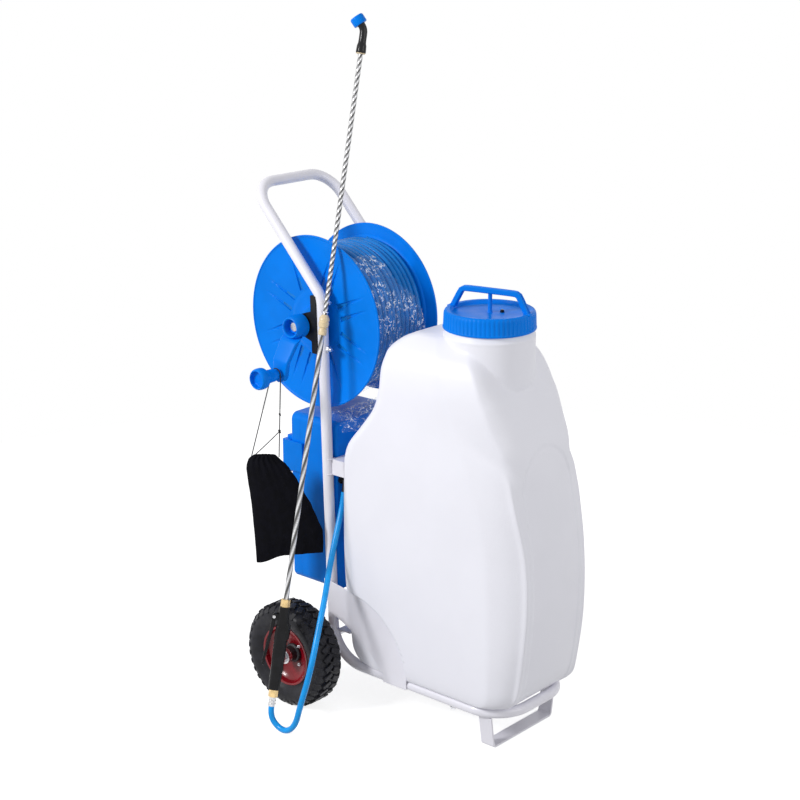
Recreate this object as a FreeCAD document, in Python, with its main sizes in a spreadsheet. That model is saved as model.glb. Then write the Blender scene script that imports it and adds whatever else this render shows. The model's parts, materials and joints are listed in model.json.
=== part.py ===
"""A wheeled sprayer cart: tube frame, tank, hose reel with crank, pump box, lance and two pneumatic wheels.

Millimetres, +Z up. The origin lies on the floor under the middle of the front foot, +X is the
side away from the crank, and +Y points back to the person who pushes the cart.
"""
import FreeCAD, Part
import math
import os
import Sketcher

V = FreeCAD.Vector

doc = FreeCAD.newDocument("sprayer_cart")
sheet = doc.addObject("Spreadsheet::Sheet", "Sizes")

# alias, value, meaning
SIZES = [
    ("clearance", 0.3, "gap between pieces of different bodies"),
    ("running", 0.05, "radial gap of a shaft in its bore"),
    ("foot_to_axle", 486, "middle of the front foot to the wheel axle"),
    # frame
    ("tube_d", 25, "frame tube, outside diameter"),
    ("tube_wall", 1.5, "frame tube wall"),
    ("frame_half", 126, "middle plane to the centre of a side tube"),
    ("rail_height", 90, "centre of the base rails above the floor"),
    ("upright_foot", -32.3, "upright line at rail height, behind the axle"),
    ("upright_head", -4, "upright line at the upper bend, behind the axle"),
    ("bend_over_reel", 69, "reel axis to the corner between upright and handle slope"),
    ("low_bend", 90, "radius of the bend from rail to upright"),
    ("top_bend", 50, "radius of the bend from upright to slope"),
    ("joint_over_bend", 65, "upper bend to the joint of side tubes and handle loop, upwards"),
    ("handle_over_joint", 169, "that joint to the centre of the handle bar, upwards"),
    ("handle_back", 212, "centre of the handle bar behind the axle"),
    ("handle_bend", 65, "radius of the handle corners"),
    ("rail_joint", 150, "where side tube and base loop meet, ahead of the axle"),
    ("ring_reach", 540, "front of the base loop, ahead of the axle"),
    ("ring_bend", 85, "radius of the front corners of the base loop"),
    ("gusset_t", 3, "gusset sheet"),
    ("gusset_high", 290, "top of the gusset at the upright"),
    ("gusset_shoulder", 120, "start of the gusset's bow, ahead of the axle"),
    ("gusset_shoulder_high", 273, "height of that point"),
    ("gusset_reach", 271, "front of the gusset, ahead of the axle"),
    ("gusset_nose", 112, "top of the gusset's front edge"),
    ("gusset_low", 81, "bottom of the gusset"),
    ("gusset_heel", 200, "rear end of the gusset's foot, ahead of the axle"),
    ("gusset_heel_high", 100, "start of the arch under the gusset"),
    ("gusset_arch_end", 34, "end of that arch, ahead of the axle"),
    ("gusset_arch_high", 208, "bottom of the gusset at the upright"),
    ("gusset_bow", 190, "radius of the gusset's top bow"),
    ("gusset_arch", 353, "radius of the arch under the gusset"),
    ("bracket_t", 5, "axle bracket plate"),
    ("cross_deep", 38, "cross member, front to back"),
    ("cross_tall", 38, "cross member, height"),
    ("cross_wall", 2, "cross member wall"),
    ("cross_height", 567, "centre of the cross member above the floor"),
    ("strap_height", 163, "centre of the rear strap above the floor"),
    ("strap_long", 38, "rear strap, front to back"),
    ("strap_t", 4, "rear strap thickness"),
    ("foot_wide", 36, "width of the foot strap"),
    ("foot_t", 5, "thickness of the foot strap"),
    ("tank_bolt", 399, "tank bolts, ahead of the axle"),
    ("foot_half", 110, "half length of the foot on the floor"),
    ("foot_half_top", 120.5, "half distance over the foot legs at the loop"),
    # wheels
    ("wheel_track", 230, "middle plane to the centre of a wheel"),
    ("wheel_r", 127, "tyre radius"),
    ("tyre_half", 42.5, "half the tyre width"),
    ("tyre_wall", 7, "carcass thickness"),
    ("bead_r", 68, "radius of the rim edge"),
    ("rim_half", 32, "half the rim width"),
    ("rim_t", 2.5, "rim sheet"),
    ("hub_r", 24, "wheel hub radius"),
    ("hub_half", 36, "half the hub length"),
    ("bearing_r", 17.5, "bearing outside radius"),
    ("bearing_w", 11, "bearing width"),
    ("axle_r", 8, "axle radius"),
    ("axle_end", 286, "middle plane to the end of the axle"),
    ("nut_af", 24, "axle nut across flats"),
    ("nut_t", 12, "axle nut thickness"),
    # reel
    ("reel_back", 45, "reel axis behind the axle"),
    ("reel_height", 896, "reel axis above the floor"),
    ("reel_r", 201, "flange radius"),
    ("flange_in", 92, "middle plane to the inside of a flange"),
    ("flange_t", 3.5, "flange sheet"),
    ("flange_flat_r", 150, "where the flange starts to flare"),
    ("flange_flare", 5, "how far the flange flares outwards"),
    ("flange_lip", 5, "rolled lip of the flange"),
    ("rib_in", 78, "inner end of the flange ribs"),
    ("rib_out", 142, "outer end of the flange ribs"),
    ("rib_wide", 9, "width of a flange rib"),
    ("rib_high", 3.5, "height of a flange rib"),
    ("rib_gap", 15, "flange rib to the middle of its pair"),
    ("rib_pairs", 8, "pairs of ribs on a flange"),
    ("boss_r", 36, "flange boss radius"),
    ("boss_out", 109, "middle plane to the face of a flange boss"),
    ("drum_r", 62, "drum outside radius"),
    ("drum_wall", 3, "drum wall"),
    ("reel_hose_d", 14, "hose on the reel"),
    ("winding_r", 165, "axis of the outer layer of hose"),
    ("winding_pitch", 14.7, "step of the outer layer"),
    ("winding_turns", 11, "whole turns of the outer layer"),
    ("shaft_r", 10, "reel shaft radius"),
    ("shaft_right", 168, "middle plane to the crank end of the shaft"),
    ("shaft_left", 158, "middle plane to the swivel end of the shaft"),
    ("bush_r", 14, "bearing bush outside radius"),
    ("block_wide", 26, "bearing block, along the reel axis"),
    ("block_under", 62, "bottom of the bearing block below the reel axis"),
    ("block_over", 72, "top of the bearing block above the reel axis"),
    ("block_t", 12, "thickness of the block's foot"),
    ("block_boss", 25, "radius of the block's bearing boss"),
    ("bolt_r", 4, "M8 bolt radius"),
    ("bolt_play", 0.3, "radial play of a bolt in its hole"),
    ("bolt_under", 49, "lower bracket bolt below the reel axis"),
    ("bolt_over", 60, "upper bracket bolt above the reel axis"),
    ("bolt_head_r", 6.5, "bolt head radius"),
    ("bolt_head_t", 5.3, "bolt head height"),
    # crank and knob
    ("crank_in", 190, "middle plane to the inner face of the crank arm"),
    ("crank_t", 16, "crank arm thickness"),
    ("crank_reach", 106, "reel axis to knob axis"),
    ("crank_lean", 8, "degrees that the hanging crank stands back"),
    ("crank_set", 26, "how far the arm's knob end stands out from its hub end"),
    ("crank_bend", 20, "reel axis to the start of the arm's offset"),
    ("crank_bent", 76, "reel axis to the end of the arm's offset"),
    ("crank_hub_r", 27, "crank hub radius"),
    ("crank_hub_in", 143, "middle plane to the inner end of the crank hub"),
    ("crank_recess_r", 17, "recess in the crank hub"),
    ("crank_recess", 8, "depth of that recess"),
    ("crank_end_r", 20, "radius of the arm's knob end"),
    ("pin_r", 6, "knob pin radius"),
    ("knob_long", 70, "knob length"),
    ("knob_r", 25, "knob head radius"),
    ("knob_neck_r", 12, "knob neck radius"),
    ("knob_barrel_r", 15, "knob barrel radius"),
    ("knob_head", 27, "length of the knob head"),
    ("knob_neck", 12, "length of the knob neck"),
    # tank
    ("tank_half", 150, "half width of the tank"),
    ("tank_wall", 4, "tank wall"),
    ("tank_front_r", 80, "front corner radius of the tank"),
    ("tank_back_r", 32, "back corner radius of the tank"),
    ("relief_depth", 12.2, "how far the tank steps in behind the gussets"),
    ("cap_ahead", 389, "filler axis ahead of the axle"),
    ("neck_r", 98.8, "outside radius of the filler neck"),
    ("dome_r", 101, "radius of the boss under the filler neck"),
    ("dome_low", 815, "bottom of that boss"),
    ("cap_rim", 936, "lower rim of the cap above the floor"),
    ("cap_r", 103, "cap radius"),
    ("cap_tall", 41, "cap skirt height"),
    ("cap_wall", 3.5, "cap wall"),
    ("cap_thread", 25, "how far the cap reaches over the neck"),
    ("cap_dish", 7, "depth of the dished cap top"),
    ("bail_top", 81, "bail height over the cap rim"),
    ("bail_half", 71, "half length of the bail's bar"),
    ("bail_foot", 94, "half distance between the bail's feet"),
    ("bail_d", 15, "bail bar diameter"),
    ("bail_turn", 12, "degrees between the bail and the long axis"),
    ("gasket_t", 3, "cap gasket"),
    ("strainer_deep", 120, "depth of the filler strainer"),
    ("strainer_wall", 2, "strainer wall"),
    ("pipe_r", 7, "suction pipe radius"),
    ("pipe_height", 455, "suction pipe through the walls, above the floor"),
    ("pipe_side", 15, "suction pipe off the middle plane"),
    # pump box
    ("box_half", 110, "half width of the pump box"),
    ("box_seam", 88, "seam between box and door, behind the axle"),
    ("box_back", 118, "back of the door, behind the axle"),
    ("box_low", 251, "bottom of the pump box"),
    ("box_under_reel", 229, "top of the pump box below the reel axis"),
    ("box_wall", 3, "pump box wall"),
    ("box_round", 18, "edge radius of the pump box"),
    ("hinge_out", 7, "door hinge axis beyond the side wall"),
    ("hinge_pin_r", 3, "door hinge pin radius"),
    ("knuckle_r", 5.5, "door knuckle radius"),
    ("knuckle", 26, "door knuckle length"),
    ("hinge_under", 327, "lower hinge below the top of the box"),
    ("hinge_over", 87, "upper hinge below the top of the box"),
    ("latch_drop", 69, "top of the door latch below the top of the box"),
    ("latch_long", 73, "length of the door latch"),
    ("latch_t", 22, "thickness of the latch behind the door"),
    ("latch_arm", 7.4, "thickness of the latch arm"),
    ("latch_reach", 75, "front end of the latch arm, behind the axle"),
    ("latch_in", 98, "latch pin off the middle plane"),
    ("battery_long", 151, "battery length"),
    ("battery_wide", 98, "battery width"),
    ("battery_tall", 96, "battery height"),
    ("motor_r", 24, "pump motor radius"),
    ("motor_long", 84, "pump motor length"),
    ("head_size", 66, "pump head edge"),
    ("pump_height", 470, "pump axis above the floor"),
    ("switch_wide", 18, "rocker width"),
    ("switch_tall", 27, "rocker height"),
    ("switch_side", -45, "rocker off the middle plane"),
    ("dial_r", 15, "pressure dial radius"),
    ("dial_long", 16, "pressure dial length"),
    ("dial_side", 35, "pressure dial off the middle plane"),
    ("panel_drop", 47, "switch and dial below the top of the box"),
    # lance and gun
    ("lance_low_x", -307, "lance line at the gun, across"),
    ("lance_low_y", -49, "lance line at the gun, behind the axle"),
    ("lance_low_z", 280, "lance line at the gun, height"),
    ("lance_top_x", -12.2, "lance line at the nozzle, across"),
    ("lance_top_y", -24.1, "lance line at the nozzle, behind the axle"),
    ("lance_top_z", 1502.7, "lance line at the nozzle, height"),
    ("lower_tube_d", 12, "lower lance tube"),
    ("lower_tube_wall", 1, "lower lance tube wall"),
    ("upper_tube_d", 9, "upper lance tube"),
    ("upper_tube_wall", 1, "upper lance tube wall"),
    ("lower_tube_end", 650, "length of the lower tube above the gun nut"),
    ("hook_over_tube", 29, "end of the lower tube to the frame's hook, along the lance"),
    ("overlap", 60, "upper tube inside the lower one"),
    ("lock_long", 46, "lock nut length"),
    ("lock_r", 12, "lock nut radius"),
    ("gun_nut_af", 19, "brass nuts, across flats"),
    ("gun_nut_t", 18, "brass nut thickness"),
    ("gun_long", 193, "gun between its nuts"),
    ("gun_wide", 26, "gun width"),
    ("trigger_long", 122, "trigger lever length"),
    ("trigger_wide", 16, "trigger lever width"),
    ("trigger_pin_r", 2.5, "trigger pin radius"),
    ("trigger_out", 21, "trigger pin off the lance axis"),
    ("trigger_down", 24, "trigger pin below the top of the gun"),
    ("ferrule_r", 8.5, "hose ferrule radius"),
    ("ferrule_long", 22, "hose ferrule length"),
    ("elbow_r", 9, "nozzle elbow radius"),
    ("collar_r", 11.5, "nozzle collar radius"),
    ("collar_long", 19, "nozzle collar length"),
    ("elbow_long", 35, "nozzle elbow straight part"),
    ("elbow_arm", 12, "nozzle elbow bent part"),
    ("elbow_turn", 42, "degrees that the nozzle elbow turns"),
    ("nozzle_r", 16, "nozzle cap radius"),
    ("nozzle_long", 20, "nozzle cap length"),
    # spray hose and bag
    ("hose_d", 14, "spray hose"),
    ("outlet_side", -97, "pump outlet off the middle plane"),
    ("outlet_under", 20, "pump outlet below the cross member"),
    ("outlet_drop", 25, "pump outlet nipple length"),
    ("cord_d", 2.4, "drawcord of the bag"),
    ("cord_inset", 4, "drawcord inside the ends of the bag's mouth"),
]
for row, (alias, amount, meaning) in enumerate(SIZES, start=1):
    sheet.set(f"A{row}", meaning)
    sheet.set(f"B{row}", str(amount))
    sheet.setAlias(f"B{row}", alias)
doc.recompute()


class Size:
    """A number together with the spreadsheet formula that gives it."""

    def __init__(self, amount, formula):
        self.amount = float(amount)
        self.formula = formula

    @staticmethod
    def of(other):
        return other if isinstance(other, Size) else Size(other, repr(float(other)))

    def __add__(self, other):
        other = Size.of(other)
        return Size(self.amount + other.amount, f"({self.formula} + {other.formula})")

    def __sub__(self, other):
        other = Size.of(other)
        return Size(self.amount - other.amount, f"({self.formula} - {other.formula})")

    def __mul__(self, other):
        other = Size.of(other)
        return Size(self.amount * other.amount, f"({self.formula} * {other.formula})")

    def __truediv__(self, other):
        other = Size.of(other)
        return Size(self.amount / other.amount, f"({self.formula} / {other.formula})")

    def __neg__(self):
        return Size(-self.amount, f"(-1 * {self.formula})")

    def __radd__(self, other):
        return Size.of(other) + self

    def __rsub__(self, other):
        return Size.of(other) - self

    def __rmul__(self, other):
        return Size.of(other) * self

    def __float__(self):
        return self.amount


class Sizes:
    """Gives each spreadsheet cell as an attribute."""


for alias, amount, meaning in SIZES:
    setattr(Sizes, alias, Size(sheet.get(alias), "Sizes." + alias))
S = Sizes
S.bend_height = S.reel_height + S.bend_over_reel
S.handle_joint = S.bend_height + S.joint_over_bend
S.handle_height = S.handle_joint + S.handle_over_joint
S.block_low = S.reel_height - S.block_under
S.block_high = S.reel_height + S.block_over
S.bolt_low = S.reel_height - S.bolt_under
S.bolt_high = S.reel_height + S.bolt_over
S.box_high = S.reel_height - S.box_under_reel
S.hinge_low = S.box_high - S.hinge_under
S.hinge_high = S.box_high - S.hinge_over
S.latch_high = S.box_high - S.latch_drop
S.latch_low = S.latch_high - S.latch_long
S.panel_height = S.box_high - S.panel_drop
S.outlet_height = S.cross_height - S.cross_tall / 2 - S.outlet_under


def size(x):
    return Size.of(x)


def behind(distance):
    """Y of something that lies a distance behind the wheel axle."""
    return S.foot_to_axle + distance


def num(x):
    return float(x)


def vec(x, y, z):
    return V(num(x), num(y), num(z))


# Placing and sketching

def place(obj, base=(0, 0, 0), x_dir=None, z_dir=None):
    """Turn an object so that its own x and z follow the given directions, and bind its base."""
    if z_dir is not None:
        x_dir = x_dir or V(1, 0, 0)
        y_dir = z_dir.cross(x_dir)
        obj.Placement = FreeCAD.Placement(V(0, 0, 0), FreeCAD.Rotation(x_dir, y_dir, z_dir, "ZXY"))
    for axis, amount in zip("xyz", base):
        if isinstance(amount, Size):
            obj.setExpression("Placement.Base." + axis, amount.formula)
        elif amount:
            obj.setExpression("Placement.Base." + axis, repr(float(amount)))
    return obj


class To:
    """A corner of an outline: a straight line leads to it, or an arc of the given radius.

    A positive radius turns left on the way to the corner, a negative one turns right.
    """

    def __init__(self, x, y, radius=None):
        self.x, self.y, self.radius = size(x), size(y), radius


def arc_through(start, end, radius):
    """Centre and sense of the shorter arc from start to end."""
    r = abs(num(radius))
    left = num(radius) > 0
    dx, dy = end[0] - start[0], end[1] - start[1]
    chord = math.hypot(dx, dy)
    lift = math.sqrt(max(r * r - chord * chord / 4, 0))
    side = 1 if left else -1
    centre = ((start[0] + end[0]) / 2 - side * lift * dy / chord,
              (start[1] + end[1]) / 2 + side * lift * dx / chord)
    return centre, left


def draw_outline(sketch, corners):
    """Add a closed outline whose corners and radii are all driven by the sheet."""
    count = len(corners)
    ends = []
    for i, corner in enumerate(corners):
        previous = corners[i - 1]
        a = (num(previous.x), num(previous.y))
        b = (num(corner.x), num(corner.y))
        if corner.radius is None:
            index = sketch.addGeometry(Part.LineSegment(V(a[0], a[1], 0), V(b[0], b[1], 0)), False)
            ends.append((index, 1, 2))
            continue
        centre, left = arc_through(a, b, corner.radius)
        r = abs(num(corner.radius))
        first = math.atan2(a[1] - centre[1], a[0] - centre[0])
        last = math.atan2(b[1] - centre[1], b[0] - centre[0])
        if not left:
            first, last = last, first
        if last < first:
            last += 2 * math.pi
        circle = Part.Circle(V(centre[0], centre[1], 0), V(0, 0, 1), r)
        index = sketch.addGeometry(Part.ArcOfCircle(circle, first, last), False)
        ends.append((index, 1, 2) if left else (index, 2, 1))
        if abs(math.dist(a, b) - 2 * r) < 1e-6:
            # half a circle: its centre lies midway, which says more than its radius does
            if abs(a[0] - b[0]) < abs(a[1] - b[1]):
                kind, middle = "DistanceX", (previous.x + corner.x) / 2
            else:
                kind, middle = "DistanceY", (previous.y + corner.y) / 2
            if middle.amount == 0:
                sketch.addConstraint(Sketcher.Constraint("PointOnObject", index, 3,
                    -2 if kind == "DistanceX" else -1))
            else:
                rule = sketch.addConstraint(Sketcher.Constraint(kind, -1, 1, index, 3, middle.amount))
                sketch.setExpression(f"Constraints[{rule}]", middle.formula)
            continue
        radius = size(corner.radius)
        rule = sketch.addConstraint(Sketcher.Constraint("Radius", index, r))
        if isinstance(corner.radius, Size):
            sketch.setExpression(f"Constraints[{rule}]", f"abs({radius.formula})")
    for i, corner in enumerate(corners):
        index, start, end = ends[i]
        after, after_start, _ = ends[(i + 1) % count]
        sketch.addConstraint(Sketcher.Constraint("Coincident", index, end, after, after_start))
        for kind, amount, axis in (("DistanceX", corner.x, -2), ("DistanceY", corner.y, -1)):
            if amount.formula == "0.0":
                sketch.addConstraint(Sketcher.Constraint("PointOnObject", index, end, axis))
                continue
            rule = sketch.addConstraint(Sketcher.Constraint(kind, -1, 1, index, end, amount.amount))
            sketch.setExpression(f"Constraints[{rule}]", amount.formula)


def draw_circle(sketch, x, y, radius):
    x, y, radius = size(x), size(y), size(radius)
    index = sketch.addGeometry(Part.Circle(V(x.amount, y.amount, 0), V(0, 0, 1), radius.amount), False)
    rule = sketch.addConstraint(Sketcher.Constraint("Radius", index, radius.amount))
    sketch.setExpression(f"Constraints[{rule}]", radius.formula)
    for kind, amount, axis in (("DistanceX", x, -2), ("DistanceY", y, -1)):
        if amount.formula == "0.0":
            sketch.addConstraint(Sketcher.Constraint("PointOnObject", index, 3, axis))
            continue
        rule = sketch.addConstraint(Sketcher.Constraint(kind, -1, 1, index, 3, amount.amount))
        sketch.setExpression(f"Constraints[{rule}]", amount.formula)


def new_sketch(body, role="XY_Plane", lift=None):
    sketch = body.newObject("Sketcher::SketchObject", body.Name + "_sketch")
    plane = next(f for f in body.Origin.OriginFeatures if f.Role == role)
    sketch.AttachmentSupport = (plane, "")
    sketch.MapMode = "FlatFace"
    if lift is not None:
        sketch.setExpression("AttachmentOffset.Base.z", size(lift).formula)
    return sketch


def padded(label, corners, thickness, base=(0, 0, 0), circles=(), midplane=False, **turn):
    """A plate or block: an outline with round holes, padded along its own z."""
    body = doc.addObject("PartDesign::Body", label)
    sketch = new_sketch(body)
    draw_outline(sketch, corners)
    for x, y, radius in circles:
        draw_circle(sketch, x, y, radius)
    pad = body.newObject("PartDesign::Pad", label + "_pad")
    pad.Profile = sketch
    pad.Midplane = midplane
    pad.setExpression("Length", size(thickness).formula)
    sketch.Visibility = False
    return place(body, base, **turn)


def turned(label, corners, base=(0, 0, 0), direction=V(0, 0, 1), side=None):
    """A turned piece: corners are (distance along the axis, radius)."""
    body = doc.addObject("PartDesign::Body", label)
    sketch = new_sketch(body)
    draw_outline(sketch, corners)
    spin = body.newObject("PartDesign::Revolution", label + "_turn")
    spin.Profile = sketch
    spin.ReferenceAxis = (sketch, ["H_Axis"])
    spin.Angle = 360
    along = V(direction)
    along.normalize()
    across = side or (V(0, 0, 1) if abs(along.z) < 0.9 else V(0, 1, 0))
    across = across - along * across.dot(along)
    across.normalize()
    body.Placement = FreeCAD.Placement(V(), FreeCAD.Rotation(along, across, along.cross(across), "XYZ"))
    return place(body, base)


def outline(*points):
    return [To(*point) for point in points]


def rectangle(x0, y0, x1, y1, r=None):
    """Corners of a rectangle, its edges rounded with the radius r."""
    if r is None:
        return outline((x0, y0), (x1, y0), (x1, y1), (x0, y1))
    return outline((x1 - r, y0), (x1, y0 + r, r), (x1, y1 - r), (x1 - r, y1, r),
                   (x0 + r, y1), (x0, y1 - r, r), (x0, y0 + r), (x0 + r, y0, r))


def block(label, low, high):
    """A box from its low to its high corner."""
    box = doc.addObject("Part::Box", label)
    for name, axis in (("Length", 0), ("Width", 1), ("Height", 2)):
        box.setExpression(name, (size(high[axis]) - size(low[axis])).formula)
    return place(box, [size(c) for c in low])


def rod(label, radius, length, base, **turn):
    """A plain cylinder from its base along its own z."""
    cylinder = doc.addObject("Part::Cylinder", label)
    cylinder.setExpression("Radius", size(radius).formula)
    cylinder.setExpression("Height", size(length).formula)
    return place(cylinder, [size(c) for c in base], **turn)


def cut(label, base, *tools):
    """Base with the tools taken away."""
    if len(tools) > 1:
        joined = doc.addObject("Part::MultiFuse", label + "_tools")
        joined.Shapes = list(tools)
        tools = (joined,)
    result = doc.addObject("Part::Cut", label)
    result.Base = base
    result.Tool = tools[0]
    return result


def fuse(label, *shapes):
    result = doc.addObject("Part::MultiFuse", label)
    result.Shapes = list(shapes)
    return result


def group(label, *members):
    """Several like solids that share one node."""
    result = doc.addObject("Part::Compound", label)
    result.Links = list(members)
    return result


def shaped(label, shape):
    """A piece whose form comes straight from its shape."""
    feature = doc.addObject("Part::Feature", label)
    feature.Shape = shape
    return feature


NODES = {}


def node(name, obj):
    """Register an object as a sub-part: its label names its file."""
    obj.Label = name
    NODES[name] = obj
    return obj


# Tubes along a route

def rounded_path(points, radii):
    """Straight runs joined by tangent arcs, one radius for each inner point."""
    edges = []
    at = points[0]
    for i, radius in enumerate(radii, start=1):
        corner = points[i]
        before = (at - corner).normalize()
        after = (points[i + 1] - corner).normalize()
        turn = math.pi - before.getAngle(after)
        reach = radius * math.tan(turn / 2)
        start, end = corner + before * reach, corner + after * reach
        bisector = (before + after).normalize()
        middle = corner + bisector * (radius / math.cos(turn / 2) - radius)
        edges.append(Part.LineSegment(at, start).toShape())
        edges.append(Part.Arc(start, middle, end).toShape())
        at = end
    edges.append(Part.LineSegment(at, points[-1]).toShape())
    return Part.Wire(edges)


def swept(path, radius):
    """A solid round bar along a path."""
    first = path.OrderedEdges[0]
    start = first.firstVertex().Point if first.Orientation == "Forward" else first.lastVertex().Point
    direction = first.tangentAt(first.FirstParameter)
    ring = Part.Wire(Part.Circle(start, direction, radius).toShape())
    bar = path.makePipeShell([ring], True, False)
    return bar


def bent_tube(points, radii, outside, wall):
    path = rounded_path(points, radii)
    return swept(path, outside / 2).cut(swept(path, outside / 2 - wall))


def hose_radii(points, share=0.45):
    """The largest arc that the two runs beside each point of a hose allow."""
    radii = []
    for before, corner, after in zip(points, points[1:], points[2:]):
        shorter = min((corner - before).Length, (after - corner).Length)
        turn = (corner - before).getAngle(after - corner)
        radii.append(share * shorter / math.tan(turn / 2))
    return radii


def root_of(x):
    return Size(math.sqrt(num(x)), f"sqrt({size(x).formula})")


def sine(degrees):
    return Size(math.sin(math.radians(num(degrees))), f"sin({degrees.formula} * 1 deg)")


def cosine(degrees):
    return Size(math.cos(math.radians(num(degrees))), f"cos({degrees.formula} * 1 deg)")


RIGHT, LEFT = -1, 1
SIDES = ((RIGHT, "right"), (LEFT, "left"))
FLAT_SIDE = dict(x_dir=V(0, 1, 0), z_dir=V(1, 0, 0))
FLAT_FRONT = dict(x_dir=V(1, 0, 0), z_dir=V(0, -1, 0))
DOWN = V(0, 0, -1)

tube_r = S.tube_d / 2
upright_slope = (S.upright_head - S.upright_foot) / (S.bend_height - S.rail_height)


def upright_y(height):
    """Y of an upright's centre line at a height."""
    return behind(S.upright_foot + (height - S.rail_height) * upright_slope)


# Frame tubes: two side tubes, the handle loop and the base loop

def side_line(side):
    """Corner points of the loop's side: rail end, low bend, top bend, meeting point with the handle."""
    x = side * num(S.frame_half)
    top = vec(x, behind(S.upright_head), S.bend_height)
    corner = vec(x, behind(S.handle_back), S.handle_height)
    share = num((S.handle_joint - S.bend_height) / (S.handle_height - S.bend_height))
    return [vec(x, behind(-S.rail_joint), S.rail_height), vec(x, behind(S.upright_foot), S.rail_height),
            top, top + (corner - top) * share]


def side_path(side):
    return rounded_path(side_line(side), [num(S.low_bend), num(S.top_bend)])


bolt_heights = (S.bolt_low, S.bolt_high)
side_bar = {}
for side, name in SIDES:
    path = side_path(side)
    side_bar[side] = swept(path, num(tube_r))
    tube = side_bar[side].cut(swept(path, num(tube_r - S.tube_wall)))
    for height in bolt_heights:
        start = vec(side * num(S.frame_half), upright_y(height) - S.tube_d, height)
        tube = tube.cut(Part.makeCylinder(num(S.bolt_r + S.bolt_play), 2 * num(S.tube_d), start, V(0, 1,
            0)))
    node("side_tube_" + name, shaped("side_tube_" + name, tube))

joint = {side: side_line(side)[-1] for side, _ in SIDES}
handle_corner = {side: vec(side * num(S.frame_half), behind(S.handle_back), S.handle_height) for side,
    _ in SIDES}
handle_points = [joint[RIGHT], handle_corner[RIGHT], handle_corner[LEFT], joint[LEFT]]
node("handle_tube", shaped("handle_tube", bent_tube(
    handle_points, [num(S.handle_bend)] * 2, num(S.tube_d), num(S.tube_wall))))

ring_points = [vec(side * num(S.frame_half), behind(-1 * reach), S.rail_height) for side, reach in (
    (RIGHT, S.rail_joint), (RIGHT, S.ring_reach), (LEFT, S.ring_reach), (LEFT, S.rail_joint))]
base_loop = bent_tube(ring_points, [num(S.ring_bend)] * 2, num(S.tube_d), num(S.tube_wall))
for side, name in SIDES:
    foot = vec(side * S.frame_half, behind(-S.tank_bolt), S.rail_height - S.tube_d)
    base_loop = base_loop.cut(Part.makeCylinder(num(S.bolt_r + S.bolt_play), 2 * num(S.tube_d), foot, V(0,
        0, 1)))
node("base_loop_tube", shaped("base_loop_tube", base_loop))


# Sheets and straps of the frame

def plate_x(side, thickness):
    """Left face of a plate that lies on the outside of a side tube."""
    return (S.frame_half + tube_r) if side == LEFT else -(S.frame_half + tube_r + thickness)


gusset_outline = outline(
    (upright_y(S.gusset_high), S.gusset_high),
    (behind(-S.gusset_shoulder), S.gusset_shoulder_high),
    (behind(-S.gusset_reach), S.gusset_nose, S.gusset_bow),
    (behind(-S.gusset_reach), S.gusset_low),
    (behind(-S.gusset_heel), S.gusset_low),
    (behind(-S.gusset_heel), S.gusset_heel_high),
    (behind(-S.gusset_arch_end), S.gusset_arch_high, -S.gusset_arch),
    (upright_y(S.gusset_arch_high), S.gusset_arch_high))
for side, name in SIDES:
    node("gusset_" + name, padded("gusset_" + name, gusset_outline, S.gusset_t,
                                  (plate_x(side, S.gusset_t), 0, 0), **FLAT_SIDE))

lug_r = S.axle_r * 3
axle_y = behind(0)
bracket_outline = outline(
    (axle_y, S.wheel_r - lug_r),
    (axle_y, S.wheel_r + lug_r, lug_r),
    (axle_y + S.upright_foot, S.wheel_r + lug_r * 2),
    (axle_y + S.upright_foot - lug_r, S.wheel_r + lug_r),
    (axle_y + S.upright_foot * 2, S.wheel_r - lug_r * 0.6),
    (axle_y + S.upright_foot, S.wheel_r - lug_r))
node("axle_brackets", group("axle_brackets", *[
    padded("axle_bracket_" + name, bracket_outline, S.bracket_t, (plate_x(side, S.bracket_t), 0, 0),
           circles=[(axle_y, S.wheel_r, S.axle_r)], **FLAT_SIDE) for side, name in SIDES]))

cross_rear = upright_y(S.cross_height - S.cross_tall / 2) - tube_r
box_front = cross_rear
cross_low = S.cross_height - S.cross_tall / 2
node("cross_member", cut(
    "cross_member",
    block("cross_outside", (-S.frame_half, cross_rear - S.cross_deep, cross_low),
          (S.frame_half, cross_rear, cross_low + S.cross_tall)),
    block("cross_inside", (S.cross_wall - S.frame_half, cross_rear - S.cross_deep + S.cross_wall,
        cross_low + S.cross_wall),
          (S.frame_half - S.cross_wall, cross_rear - S.cross_wall, cross_low + S.cross_tall - S.cross_wall)),
    rod("cross_vent", 4, S.cross_wall * 3, (
        S.frame_half / 2, cross_rear - S.cross_deep / 2, cross_low - S.cross_wall))))

low_reach = S.low_bend * (root_of(1 + upright_slope * upright_slope) - upright_slope)
strap_low = S.strap_height - S.strap_t / 2
bend_inside = S.low_bend - tube_r
strap_drop = S.rail_height + S.low_bend - strap_low
strap_rear = behind(S.upright_foot) - low_reach + root_of(bend_inside * bend_inside - strap_drop * strap_drop)
node("rear_strap", block("rear_strap", (-S.frame_half, strap_rear - S.strap_long, strap_low),
                         (S.frame_half, strap_rear, strap_low + S.strap_t)))

foot_bend = S.foot_t * 2
foot_top = S.rail_height - tube_r
foot_outline = outline(
    (S.foot_half - foot_bend, 0), (S.foot_half, foot_bend, foot_bend),
    (S.foot_half_top, foot_top), (S.foot_half_top - S.foot_t, foot_top), (S.foot_half - S.foot_t,
        foot_bend),
    (S.foot_half - foot_bend, S.foot_t, -(foot_bend - S.foot_t)), (-S.foot_half + foot_bend, S.foot_t),
    (-S.foot_half + S.foot_t, foot_bend, -(foot_bend - S.foot_t)), (-S.foot_half_top + S.foot_t, foot_top),
    (-S.foot_half_top, foot_top), (-S.foot_half, foot_bend), (-S.foot_half + foot_bend, 0, foot_bend))
node("front_foot", padded("front_foot", foot_outline, S.foot_wide, (0, S.foot_wide / 2, 0), **FLAT_FRONT))


# Fasteners

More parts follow.
